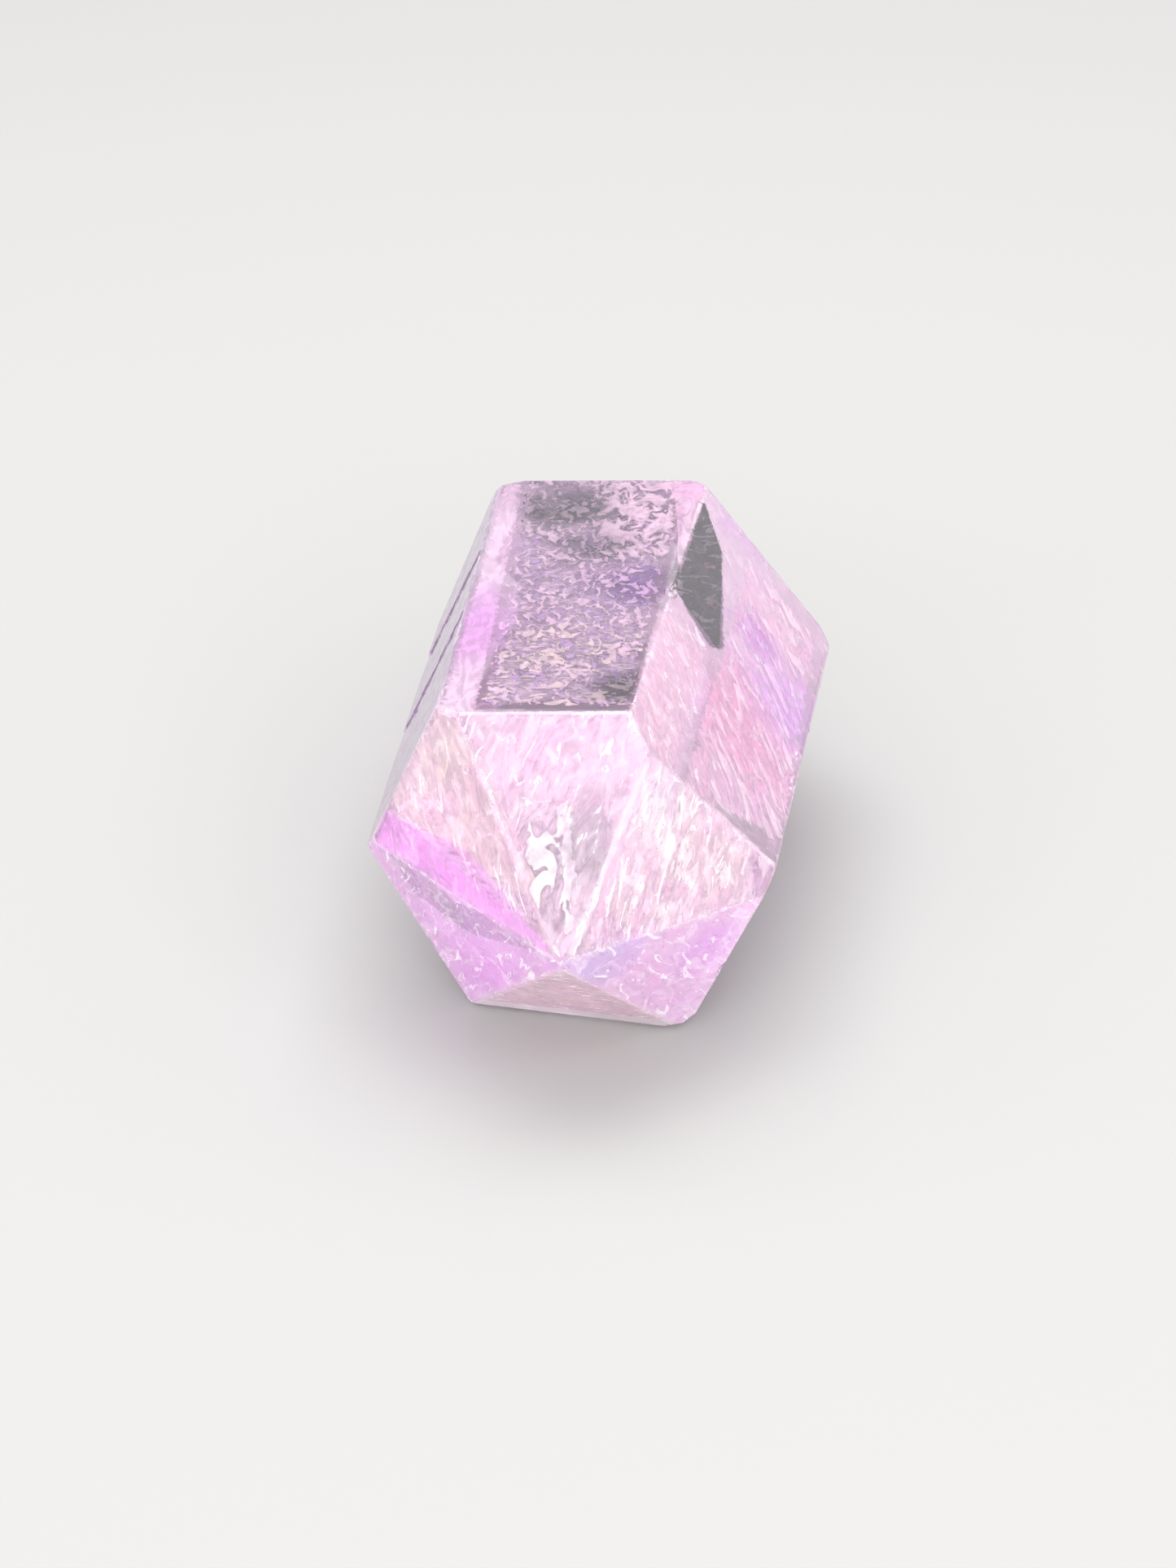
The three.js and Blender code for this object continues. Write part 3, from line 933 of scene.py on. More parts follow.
    @staticmethod
    def _bowed(ring: Array) -> Array:
        """Bows every straight run of an outline out a little, so that no three points are in line.

        A point is pushed out by four times the bow, times its share along the run, times what is
        left of it. Only the choice of triangles uses the bowed outline.

        Args:
            ring: The outline's points, counter-clockwise.

        Returns:
            The points in the same order.
        """
        bow, straight = 0.002, 0.002  # as a share of a run's length, and the sine of a corner's turn
        step = np.roll(ring, -1, axis=0) - ring
        step /= np.maximum(np.linalg.norm(step, axis=1, keepdims=True), TINY)
        before = np.roll(step, 1, axis=0)
        turn = np.abs(before[:, 0] * step[:, 1] - before[:, 1] * step[:, 0])
        corners = np.flatnonzero((turn > straight) | ((before * step).sum(axis=1) < 0))
        if len(corners) < 3:
            return ring
        run = np.searchsorted(corners, np.arange(len(ring)), side="right") - 1
        start = ring[corners[run]]
        span = ring[np.roll(corners, -1)[run]] - start
        length = np.maximum(np.linalg.norm(span, axis=1, keepdims=True), TINY)
        share = np.linalg.norm(ring - start, axis=1, keepdims=True) / length
        outward = np.stack([span[:, 1], -span[:, 0]], axis=1)
        return ring + outward * 4 * bow * np.clip(share * (1 - share), 0, 1)

    def _relief(self, points: Array, nearest: Array, gap: Array) -> Array:
        """Works out how far each point is set back.

        Striations are creases stretched across the prism, so that they change fast along the
        crystal, and grooves are creases stretched along it. Crinkles are wide creases, deeper in
        broad patches. Hills are broad ripples, and every face is a little wavy. All fade out at
        the face's edges.

        Args:
            points: Points in millimetres.
            nearest: Number of the face each point is on.
            gap: How much nearer that face is than the next, in millimetres.

        Returns:
            Depths in millimetres.
        """
        kinds = np.array([FACETS[name].relief.value for name in self.faces.names])[nearest]
        crinkled = self.crinkles.shares(points) * self.crinkle_patches.values(points)
        reliefs = {
            Relief.STRIATED: self.striations.depth * self.striations.shares(points),
            Relief.GROOVED: self.grooves.depth * self.grooves.shares(points),
            Relief.CRINKLED: self.crinkles.depth * np.clip(crinkled, 0, 1),
            Relief.HILLY: self.hill_depth * self.hills.values(points * self.HILL_SQUEEZE),
        }
        depth = self.waviness_depth * self.waviness.values(points)
        for relief, own in reliefs.items():
            depth = depth + np.where(kinds == relief.value, own, 0)
        return np.clip(depth, 0, None) * smooth_step(*self.fade, gap)

    def _wear(self, points: Array, gap: Array) -> Array:
        """Works out how rubbed each point is: most on the natural edges, in patches.

        Args:
            points: Points in millimetres.
            gap: How much nearer their face is than the next, in millimetres.

        Returns:
            Wear from 0 to 1.
        """
        patchy = np.clip(self.worn_patches.values(points), 0, 1)
        return (1 - smooth_step(*self.worn, gap * self.worn_unevenly.values(points))) * patchy

    def bruises(self, material: bpy.types.Material) -> bpy.types.Object:
        """Builds the bruised edges: tiny white cracks close under the rubbed edges.

        The body's own surface is cut where its wear, made uneven by ripples, passes a level, and
        laid a little under itself as a thin closed skin that is thickest where the wear is most.

        Args:
            material: The finish.

        Returns:
            The new piece.
        """
        points, triangles, wear = self.surface
        level = off_zero(wear - self.bruise_wear + self.bruise_patches.values(points))
        inwards = -(np.exp(-self.faces.depths(points) / self.TURNING) @ self.faces.normals)
        inwards /= np.linalg.norm(inwards, axis=1, keepdims=True)
        rows, triangles, level = cut_at_level(np.concatenate([points, inwards], axis=1), triangles, level)
        points, inwards = rows[:, :3], rows[:, 3:]
        half = self.bruise_half * lens_share(level, self.BRUISE_STEEPNESS)
        middle = points + inwards * self.bruise_depth
        piece = closed_skin("bruised_edges", middle, triangles, -inwards * half, level)
        piece.data.materials.append(material)
        tones = np.tile(linear(self.bruise_tone), (len(piece.data.vertices), 1))
        write_colours(piece.data, "tone", "POINT", tones)
        return piece

    def _write_finish(self, mesh: bpy.types.Mesh) -> None:
        """Stores each corner's streak place, finish, tone and phantom, all by the face that it is on.

        A streak place is the place across and along the face, turned so that streaks run up it.
        The finish holds the frost in red, the edge wear in green and the clear share in blue.

        Args:
            mesh: The body's mesh.
        """
        points, triangles, wear = self.surface
        owner = np.repeat(np.argmin(self.faces.depths(points[triangles].mean(axis=1)), axis=1), 3)
        off = points[triangles].reshape(-1, 3) - self.faces.middles[owner]
        across = (off * self.faces.across[owner]).sum(axis=1)
        along = (off * self.faces.along[owner]).sum(axis=1)
        flat = np.stack([across, along], axis=1)
        facets = [FACETS[name] for name in self.faces.names]
        skins = np.array([(facet.streak, facet.frost, facet.clear) for facet in facets])
        streak, frost, clear = skins[owner].T.copy()
        cos, sin = np.cos(np.radians(90 - streak)), np.sin(np.radians(90 - streak))
        turned = np.stack([across * cos - along * sin, across * sin + along * cos], axis=1)
        write_streaks(mesh, turned + self.STREAKS_APART * owner[:, None])
        tone = np.empty((len(off), 4))
        for number, (name, facet) in enumerate(zip(self.faces.names, facets)):
            own, spots = owner == number, self.spots.get(name, ())
            tone[own] = spread_tones(facet.tone, spots, flat[own], self.TONE_SEED + number)
        phantom, reach = self._phantoms(owner, flat, frost, clear)
        finish = np.stack([frost, wear[triangles.ravel()], clear, np.ones_like(frost)], axis=1)
        for name, colours in (("finish", finish), ("tone", tone), ("phantom_and_painted_tone", phantom)):
            write_colours(mesh, name, "CORNER", colours)
        store(mesh.attributes.new("phantom_reach", "FLOAT", "CORNER").data, "value", reach)

    def _phantoms(self, owner: Array, flat: Array, frost: Array, clear: Array) -> tuple[Array, Array]:
        """Finds each corner's phantom, the one that it lies deepest inside.

        Args:
            owner: Number of the face that each corner is on.
            flat: Each corner's place across and along its face.
            frost: Each corner's frost, which a phantom around it changes to its own.
            clear: Each corner's clear share, changed in the same way.

        Returns:
            Each corner's phantom tone, with its strength as alpha, and how far the corner lies
            inside the phantom.
        """
        reach = np.full(len(owner), self.FAR_OUT)
        tone = np.zeros((len(owner), 4))
        for region in self.phantoms:
            own = np.flatnonzero(owner == self.faces.names.index(region.face))
            inside = outline_reach(flat[own], np.array(region.outline))
            deeper = inside > reach[own]
            nearer = own[deeper]
            reach[nearer] = inside[deeper]
            tone[nearer] = spread_tones(region.tone, region.spots, flat[nearer], self.PHANTOM_SEED)
            tone[nearer, 3] = region.strength
            within = nearer[reach[nearer] > 0]
            frost[within], clear[within] = region.frost, region.clear
        return tone, reach


# ---- What lies inside it ------------------------------------------------------------------------


@dataclass(frozen=True)
class Inclusion:
    """What lies in the quartz under a four-sided area of a face: crumpled, toned, ragged at its border.

    corners are places across and along the face from its middle, in order round the area, and
    depths how deep it lies at its first two and last two corners. grain is the size of its buckles,
    across and along after a turn in degrees, and crumple how far it buckles. ragged is the width of
    its uneven border and step the mesh's. Its ripples are drawn from the seed and the eight numbers
    after it. Lengths are in millimetres.
    """

    name: str
    face: str
    tone: str
    seed: int
    corners: tuple[Pair, ...]
    spots: tuple[Spot, ...] = ()
    depths: Pair = (0.9, 0.9)
    grain: Pair = (3.0, 4.0)
    crumple: float = 0.12
    turn: float = 0.0
    ragged: float = 0.8
    step: float = 0.3

    COVER = 0.3  # the quartz left over an inclusion, in millimetres
    CURL = (2.2, 0.45)  # size of the pattern's bends and how far they reach, in grains
    BUCKLES = ((1.0, 1.4), (0.4, 0.45))  # share of each size of buckle, and the size in grains
    LOBE = 1.6  # size of the border's lobes, in widths of the border
    ON_SIDE = 1e-6  # a point this near a side of the area is on it, in millimetres

    def _grid(self) -> tuple[Array, Array, Array, Array]:
        """Spreads points over the area.

        A point is the mix of the four corners by its two shares, each from 0 to 1.

        Returns:
            Places across and along the face, depths, distances from the area's sides, and
            triangles.
        """
        first, second, third, fourth = np.array(self.corners)
        width = max(np.linalg.norm(second - first), np.linalg.norm(third - fourth))
        length = max(np.linalg.norm(fourth - first), np.linalg.norm(third - second))
        columns, rows = (max(2, math.ceil(size / self.step)) + 1 for size in (width, length))
        u, v = (g.ravel() for g in np.meshgrid(np.linspace(0, 1, columns), np.linspace(0, 1, rows)))
        near_side = first * (1 - u)[:, None] + second * u[:, None]
        far_side = fourth * (1 - u)[:, None] + third * u[:, None]
        flat = near_side * (1 - v)[:, None] + far_side * v[:, None]
        depth = self.depths[0] * (1 - v) + self.depths[1] * v
        margin = np.minimum(np.minimum(u, 1 - u) * width, np.minimum(v, 1 - v) * length)
        number = np.arange(columns * rows).reshape(rows, columns)
        a, b, c, d = number[:-1, :-1], number[:-1, 1:], number[1:, 1:], number[1:, :-1]
        triangles = np.stack([a, b, c, a, c, d], axis=-1).reshape(-1, 3)
        turned = np.cross(second - first, fourth - first) < 0
        return flat, depth, margin, triangles[:, ::-1] if turned else triangles

    def _laid(self, faces: FaceFrames) -> tuple[Array, Array, Array, Array, Array]:
        """Lays the crumpled sheet under its face.

        A point is its place under the face, moved out by ripples of the grain and of a third of
        it. The pattern's own coordinates are the place, turned and divided by the grain, and bent
        by broad ripples so that it curls. The border's level is the distance from the area's
        sides over the ragged width, less a half, plus half of small ripples; it is at most that
        first share, and at most twice the quartz left over the sheet beyond its cover.

        Args:
            faces: The faces it is placed from.

        Returns:
            Rows of point, place across and along, and turned place; triangles; the face's outward
            direction; the pattern's coordinates; and how far each point is inside the border
            (below 0 outside).
        """
        middle, across, along, out = faces.axes(self.face)
        flat, depth, margin, triangles = self._grid()
        cos, sin = math.cos(math.radians(self.turn)), math.sin(math.radians(self.turn))
        turned = flat @ np.array([[cos, -sin], [sin, cos]])
        pattern = turned / self.grain
        size, curl = self.CURL
        bend = [ripples(pattern, size, self.seed + 5), ripples(pattern, size, self.seed + 6)]
        pattern = pattern + curl * np.stack(bend, axis=1)
        rise = (self.crumple * mixed_ripples(pattern, self.BUCKLES, self.seed) - depth)[:, None]
        points = middle + across * flat[:, :1] + along * flat[:, 1:] + out * rise
        share = margin / self.ragged
        border = share - 0.5 + 0.5 * ripples(flat, self.LOBE * self.ragged, self.seed + 2)
        border = np.minimum(border, np.where(margin < self.ON_SIDE, -0.5, share))
        cover = faces.depths(points).min(axis=1) - self.COVER
        rows = np.concatenate([points, flat, turned], axis=1)
        return rows, triangles, out, pattern, np.minimum(border, cover * 2)

    def _toned(self, flat: Array) -> Array:
        """The inclusion's own colours at places across and along its face."""
        return spread_tones(self.tone, self.spots, flat, self.seed + 7)


@dataclass(frozen=True)
class Flakes(Inclusion):
    """Ragged flakes: the walls of many small healed cracks, each a thin closed lens.

    rarity is the level that the ripple pattern has to pass, so a higher one leaves fewer flakes.
    plump is a flake's half thickness, and clusters how much the flakes gather in some places.
    """

    ragged: float = 1.2
    step: float = 0.17
    rarity: float = 0.25
    plump: float = 0.06
    clusters: float = 0.3

    SIZES = ((1.0, 1.0), (0.45, 0.4))  # share of each size of flake, and the size in grains
    CLUSTER = 6.0  # size of the places where flakes gather, in millimetres
    STEEPNESS = 2.5  # how fast a flake thickens from its rim

    def build(self, faces: FaceFrames, material: bpy.types.Material) -> bpy.types.Object:
        """Builds the flakes.

        The sheet is cut where the sum of two sizes of ripples passes the rarity. Its sides rise
        and sink with the root of that level and meet at the rim, so that each flake is closed.

        Args:
            faces: The faces they are placed from.
            material: Their finish.

        Returns:
            The new piece.
        """
        rows, triangles, out, pattern, border = self._laid(faces)
        gathered = self.clusters * ripples(rows[:, 3:5], self.CLUSTER, self.seed + 8)
        level = mixed_ripples(pattern, self.SIZES, self.seed + 3)
        level = off_zero(np.minimum(level + gathered - self.rarity, border))
        rows, triangles, level = cut_at_level(rows, triangles, level)
        rise = out * (self.plump * lens_share(level, self.STEEPNESS))
        piece = closed_skin(self.name, rows[:, :3], triangles, rise, level)
        tones = self._toned(rows[:, 3:5])
        write_colours(piece.data, "tone", "POINT", np.concatenate([tones, tones[level > 0]]))
        piece.data.materials.append(material)
        return piece


@dataclass(frozen=True)
class Veil(Inclusion):
    """A thin clouded veil that thins out towards its border."""

    FULL = 0.5  # the border's level from which a veil has its full thickness

    def build(self, faces: FaceFrames, material: bpy.types.Material) -> bpy.types.Object:
        """Builds the veil, one crumpled sheet with its thickness in its colours' alpha.

        Args:
            faces: The faces it is placed from.
            material: Its finish, which reads the veil's tones and streak places.

        Returns:
            The new piece.
        """
        rows, triangles, _, _, border = self._laid(faces)
        rows, triangles, border = cut_at_level(rows, triangles, border)
        piece = mesh_piece(self.name, rows[:, :3], triangles)
        tones = self._toned(rows[:, 3:5])
        tones[:, 3] = smooth_step(0.0, self.FULL, border)
        write_colours(piece.data, "tone", "POINT", tones)
        write_streaks(piece.data, rows[triangles.ravel(), 5:7])
        piece.data.materials.append(material)
        return piece


# ---- The studio ---------------------------------------------------------------------------------


@dataclass(frozen=True)
class Softbox:
    """A soft lamp aimed at the crystal: its place and size in metres, and its power in watts."""

    name: str
    place: tuple[float, float, float]
    size: Pair
    power: float


@dataclass(frozen=True)
class Studio:
    """A plain pale floor, soft light and the camera. Lengths are in metres, angles in degrees.

    air_gap is the film of air under the crystal, and aim the height that the lamps point at. The
    camera looks back along its around and height angles, and is then rolled. picture_height is the
    height of its picture and focal_length the distance it is seen from, both in pixels.
    """

    floor_colour: str = "#a3a3a0"
    floor_roughness: float = 0.75
    floor_size: float = 4.0
    air_gap: float = 0.1 * MM
    sky_colour: str = "#fbf9ff"
    sky_light: float = 1.16
    aim: float = 18 * MM
    boxes: tuple[Softbox, ...] = (
        Softbox("softbox_above", (-0.05, 0.24, 0.74), (0.8, 0.6), 5.5),
        Softbox("softbox_front", (0.34, -0.60, 0.50), (0.9, 0.7), 4.0),
        Softbox("softbox_low", (-0.10, -1.10, 0.34), (2.0, 0.65), 16.0),
    )
    camera_place: tuple[float, float, float] = (0.04564, -0.32811, 0.19018)
    camera_around: float = 8.29
    camera_height: float = 28.0
    camera_roll: float = -1.46
    picture_height: int = 1927
    focal_length: float = 4286.0
    nearest: float = 0.01

    def build(self) -> None:
        """Builds the floor, the lights, the sky and the camera."""
        self._floor()
        self._sky()
        for box in self.boxes:
            self._softbox(box)
        self._camera()

    def _floor(self) -> None:
        """Lays a smooth matt board under the crystal: an even pale ground without gloss."""
        half = self.floor_size / 2
        corners = np.array([[-half, -half], [half, -half], [half, half], [-half, half]]) / MM
        points = np.column_stack([corners, np.full(4, -self.air_gap / MM)])
        floor = mesh_piece("floor", points, np.array([[0, 1, 2, 3]]))
        material, tree = new_material("matt_board")
        board = {"Base Color": linear(self.floor_colour), "Roughness": self.floor_roughness}
        shader = add_node(tree, "BsdfPrincipled", board)
        add_node(tree, "OutputMaterial", {"Surface": shader})
        floor.data.materials.append(material)

    def _sky(self) -> None:
        """Makes an even pale sky all round."""
        world = bpy.data.worlds.new("pale_sky")
        world.use_nodes = True
        background = world.node_tree.nodes["Background"]
        background.inputs["Color"].default_value = linear(self.sky_colour)
        background.inputs["Strength"].default_value = self.sky_light
        bpy.context.scene.world = world

    def _softbox(self, box: Softbox) -> None:
        """Hangs a rectangular area light and turns it towards the crystal.

        Args:
            box: The lamp.
        """
        light = bpy.data.lights.new(box.name, "AREA")
        light.shape = "RECTANGLE"
        light.size, light.size_y = box.size
        light.energy = box.power
        lamp = new_object(box.name, light)
        lamp.location = box.place
        towards = Vector((0, 0, self.aim)) - Vector(box.place)
        lamp.rotation_euler = towards.to_track_quat("-Z", "Y").to_euler()

    def _camera(self) -> None:
        """Sets the camera: back is worked out from its angles, right is level, and both are rolled."""
        angles = (self.camera_around, self.camera_height, self.camera_roll)
        around, height, roll = (math.radians(angle) for angle in angles)
        level = math.cos(height)
        back = Vector((math.sin(around) * level, -math.cos(around) * level, math.sin(height)))
        right = (-back).cross(Vector((0, 0, 1))).normalized()
        up = right.cross(-back)
        turned_right = right * math.cos(roll) + up * math.sin(roll)
        turned_up = up * math.cos(roll) - right * math.sin(roll)
        lens = bpy.data.cameras.new("camera")
        lens.sensor_fit = "VERTICAL"
        lens.sensor_height = 36.0
        lens.lens = self.focal_length / self.picture_height * lens.sensor_height
        lens.clip_start = self.nearest
        camera = new_object("camera", lens)
        pose = Matrix((turned_right, turned_up, back)).transposed().to_4x4()
        pose.translation = Vector(self.camera_place)
        camera.matrix_world = pose
        bpy.context.scene.camera = camera


# ---- Tones, regions and inclusions, by face -----------------------------------------------------


FACE_TONES_AND_HIGHLIGHT = {
    "top": (
        Spot((-8.5, -10.0), 12.0, "#f9c4fb", 0.9), Spot((-10.5, 25.0), 7.0, "#e9cfe2"),
        Spot((9.5, 27.1), 5.0, "#fdd2ee"),
    ),
    "upper_right": (
        Spot((9.3, 4.4), 13.0, "#f6cdff"), Spot((1.3, 11.6), 5.0, "#dea2f0"),
        Spot((0.8, -8.6), 14.0, "#fbc3e2", 0.7), Spot((-4.7, 29.4), 6.0, "#efc0f2", 0.7),
    ),
    "near_top": (Spot((4.6, -0.9), 8.0, "#cabec6", 0.85), Spot((-2.8, 9.1), 6.0, "#fbdcee", 0.7)),
    # Painted highlight: the white spot near the top of the near upper right face; the other spot is its
    # tone.
    "near_upper_right": (Spot((1.9, 6.0), 7.0, "#fbe6ea", 0.6), Spot((-6.0, 5.0), 5.0, "#ffffff")),
    "near_upper_left": (Spot((3.8, 9.9), 6.0, "#fbf0ea"),),
    "near_lower_left": (Spot((-5.7, 4.6), 9.0, "#fcb6ff", 0.85),),
    "near_lower_right": (Spot((-1.4, -9.2), 7.0, "#ecdcfc"), Spot((-1.9, 7.9), 6.0, "#f0bdf8")),
}

# Painted shade: dark, grey and dusky violet tones of the veil under the top face, for dark ground seen
# through the quartz; the darkest, near the tip, is a painted dark corner.
PAINTED_WINDOW_SHADE = (
    Spot((-3.7, 22.6), 8.0, "#3c353f", 0.95), Spot((1.1, 11.9), 6.0, "#544a58", 0.9),
    Spot((5.0, 20.0), 7.0, "#655768", 0.85), Spot((5.4, 15.1), 4.0, "#77746c"),
    Spot((8.0, 1.1), 7.0, "#9a6fc0", 0.9), Spot((9.2, -23.5), 5.5, "#1c1b20", 0.95),
)

GROWTH_AND_PAINTED_REGIONS = (
    Phantom(
        "top", "#ecdcea", 0.85, 0.1, 0.95,
        (
            (-9.7, 26.1), (-8.6, 20.0), (-9.1, 7.1), (-5.6, 1.0), (-4.4, -7.9), (-5.6, -15.9),
            (-5.8, -28.9), (10.2, -28.9), (10.2, 21.2), (7.5, 26.6), (-1.0, 34.1), (-9.2, 34.1),
        ),
        (
            # Painted shade: the dark and grey spots of this window stand for dark ground seen through the
            # quartz.
            Spot((-3.7, 22.6), 9.0, "#6e6873", 0.9), Spot((1.1, 11.9), 6.5, "#8b8290"),
            Spot((5.0, 24.1), 5.0, "#f6e6f2"), Spot((7.5, 1.1), 7.0, "#cfa6e2"),
            Spot((9.0, -23.5), 6.0, "#5f5a64", 0.9),
        ),
    ),
    # Painted shade: a dark grey skin over the dark patch under the upper right face.
    Phantom(
        "upper_right", "#6c6a72", 0.9, 0.1, 0.93,
        ((-10.4, 26.8), (-6.2, 20.1), (-2.6, 1.8), (-4.5, -0.5), (-8.4, 1.4), (-11.3, 3.8)),
    ),
    Phantom(
        "upper_right", "#f5d3e4", 0.9, 0.6, 0.72,
        ((-12.7, -1.5), (-8.6, 1.1), (-4.3, -1.6), (-4.0, -13.3), (-4.2, -30.6), (-13.7, -30.6)),
    ),
    Phantom(
        "near_top", "#f8d9ea", 1.0, 0.35, 0.7,
        ((8.9, 8.7), (11.7, 8.7), (7.6, -6.8), (5.1, -6.8)),
    ),
    # Partly painted highlight: a clearer region of the near top face over the white crack walls, with a
    # paler tone painted over it as highlight.
    Phantom(
        "near_top", "#f6eef4", 0.8, 0.25, 0.93,
        (
            (-1.9, 2.4), (0.6, 3.4), (1.9, 0.9), (1.3, -0.9), (1.9, -3.2), (2.7, -5.6), (3.5, -7.6),
            (1.8, -9.9), (-0.5, -7.8), (-1.4, -4.1), (-1.3, -1.6), (-2.5, -0.1),
        ),
    ),
    Phantom(
        "near_upper_right", "#f8d9ea", 1.0, 0.35, 0.7,
        ((-11.1, 8.5), (-9.9, 7.2), (-2.4, -6.1), (-4.1, -6.5)),
    ),
    Phantom(
        "near_upper_left", "#fbb8fa", 0.75, 0.4, 0.76,
        ((-5.5, 13.4), (-0.2, 1.5), (0.3, -5.8), (0.4, -16.1), (-11.9, -16.1), (-11.9, 14.4)),
    ),
    Phantom(
        "near_lower_left", "#d4abd9", 0.85, 0.8, 0.62,
        ((10.3, 9.6), (4.3, 10.0), (0.3, 2.6), (-0.2, -10.4), (2.9, -10.4), (4.5, 1.6), (10.3, 5.8)),
    ),
    Phantom(
        "near_lower_right", "#e8d4fc", 0.6, 0.9, 0.64,
        ((-8.4, -13.3), (-8.4, -3.3), (-0.4, -2.3), (3.1, -7.3), (1.1, -13.3)),
    ),
    # Painted light: a white band along the lower edge of the near bottom face, which faces down, for light
    # coming through the tip.
    Phantom(
        "near_bottom", "#fff6fa", 1.0, 0.2, 0.4,
        ((-11.0, 6.6), (-10.9, 12.0), (11.0, 15.0), (11.0, 10.8)),
    ),
)

WINDOW = ((-9.6, 33.1), (9.5, 31.1), (10.2, -27.9), (-5.2, -27.9))  # under the top face
# Painted shade: the dark patch under the upper right face, for dark ground seen through the quartz.
PAINTED_SHADE_PATCH = ((-10.3, 28.0), (-5.6, 21.0), (-2.5, 1.0), (-11.2, 3.6))  # under the upper right face

# The veil under the top window: milky where pale, painted shade where its spots are dark.
WINDOW_SHADE_CLOUD = CloudedQuartz("milky_and_painted_shade_window_veil", (3.0, 1.6), (0.5, 0.98), 0.6)
# Painted shade: the dark veil that fills that patch.
PATCH_SHADE_CLOUD = CloudedQuartz("painted_shade_patch_veil", (0.7, 5.0), (0.8, 1.0), 0.5)
# Milky veils, all but one: the dark veil under the upper left face is painted shade.
MILKY_AND_SHADE_CLOUD = CloudedQuartz("milky_and_painted_shade_quartz_veil", (2.2, 5.5), (0.5, 0.95), 0.82, 1.8)

VEILS = {
    WINDOW_SHADE_CLOUD: (
        Veil(
            "milky_and_painted_shade_veil_top", "top", "#f0daf0", 31, WINDOW, PAINTED_WINDOW_SHADE,
            depths=(3.0, 0.7), grain=(4.0, 2.5), crumple=0.3, ragged=1.6, step=0.35,
        ),
    ),
    PATCH_SHADE_CLOUD: (
        Veil(
            "painted_shade_veil_right", "upper_right", "#2f3036", 41, PAINTED_SHADE_PATCH,
            depths=(1.3, 1.2), crumple=0.08, turn=-20, ragged=0.3, step=0.25,
        ),
    ),
    MILKY_AND_SHADE_CLOUD: (
        Veil(
            "pink_veil_top", "top", "#ffdcf6", 281,
            ((-11.5, 29.5), (-9.0, 29.5), (-5.0, -29.5), (-9.2, -29.5)),
            (Spot((-7.5, -6.0), 12.0, "#fbc9fb", 0.9), Spot((-10.5, 26.0), 7.0, "#e6cbe0")),
            depths=(0.8, 0.8), grain=(3.0, 5.0), crumple=0.1, ragged=0.5,
        ),
        Veil(
            "pink_veil_top_right", "top", "#fdd3ee", 291,
            ((7.6, 29.5), (11.5, 29.5), (11.0, 4.0), (9.8, 16.0)),
            depths=(0.8, 0.8), grain=(3.0, 5.0), crumple=0.1, ragged=0.5,
        ),
        Veil(
            "milky_veil_near_top", "near_top", "#f1dbe9", 201,
            ((-9.8, 13.1), (10.2, 13.1), (6.7, -12.9), (-0.8, -12.9)),
            (Spot((5.1, -0.9), 6.0, "#d4ced2", 0.9),),
            turn=-18,
        ),
        Veil(
            "milky_veil_near_right", "near_upper_right", "#f6e2ea", 211,
            ((-10.6, 8.0), (5.9, 13.0), (9.4, 7.0), (-0.1, -12.0)),
            turn=28,
        ),
        Veil(
            "milky_veil_near_left", "near_upper_left", "#f3dfe2", 221,
            ((-5.9, 14.9), (9.6, 14.9), (4.1, -14.1), (-0.9, -0.1)),
            turn=-30, ragged=1.0,
        ),
        Veil(
            "pink_veil_near_left", "near_upper_left", "#fabcfa", 226,
            ((-9.9, 14.4), (-4.9, 14.4), (1.6, -16.1), (-6.9, -10.1)),
            depths=(0.8, 0.8), turn=-30, ragged=0.7,
        ),
        Veil(
            "rosy_veil_right", "upper_right", "#f8c4e4", 231,
            ((-2.2, 27.4), (10.3, 25.4), (11.3, -19.6), (-3.7, -30.6)),
            (
                Spot((9.3, 4.4), 13.0, "#ecb9fd"), Spot((-0.7, 27.4), 10.0, "#f7d3f2", 0.9),
                Spot((0.8, -8.6), 12.0, "#f9b6da", 0.5), Spot((6.3, -21.6), 9.0, "#f0c6ee"),
            ),
            depths=(1.2, 1.2), grain=(3.0, 5.0), crumple=0.15, turn=28, ragged=1.2,
        ),
        Veil(
            "pale_veil_right", "upper_right", "#f1d0e1", 236,
            ((-11.7, -1.6), (-4.3, -2.1), (-4.5, -29.6), (-11.7, -26.6)),
            depths=(1.0, 1.0), turn=10, ragged=0.6,
        ),
        Veil(
            "violet_veil_near_left", "near_lower_left", "#fbbcff", 241,
            ((-9.7, 13.6), (8.3, 9.6), (9.3, 5.6), (-2.7, -13.4)),
            (Spot((3.3, 4.6), 5.0, "#8c6a95", 0.9),),
            turn=-30,
        ),
        Veil(
            "violet_veil_near_right", "near_lower_right", "#fdcdfa", 251,
            ((-7.4, -11.3), (-7.9, 9.7), (8.1, 10.7), (4.6, -8.3)),
            (Spot((-1.4, -8.3), 6.0, "#dfcdf8"),),
            turn=-30,
        ),
        # Painted shade: a dark veil under the upper left face, for dark surroundings seen in it.
        Veil(
            "painted_shade_veil_left", "upper_left", "#6f5d75", 271,
            ((-9.5, 29.8), (9.5, 23.8), (9.5, -25.2), (-9.5, -30.2)),
            (Spot((0.0, 18.8), 12.0, "#7f7480", 0.9),),
            depths=(0.6, 0.6), grain=(2.0, 4.0), crumple=0.1,
        ),
        Veil(
            "brown_veil_near", "near_bottom", "#f5c8db", 261,
            ((-9.3, 11.4), (8.7, 11.4), (3.7, -10.6), (-4.3, -10.6)),
            grain=(3.0, 3.0), turn=80,
        ),
    ),
}

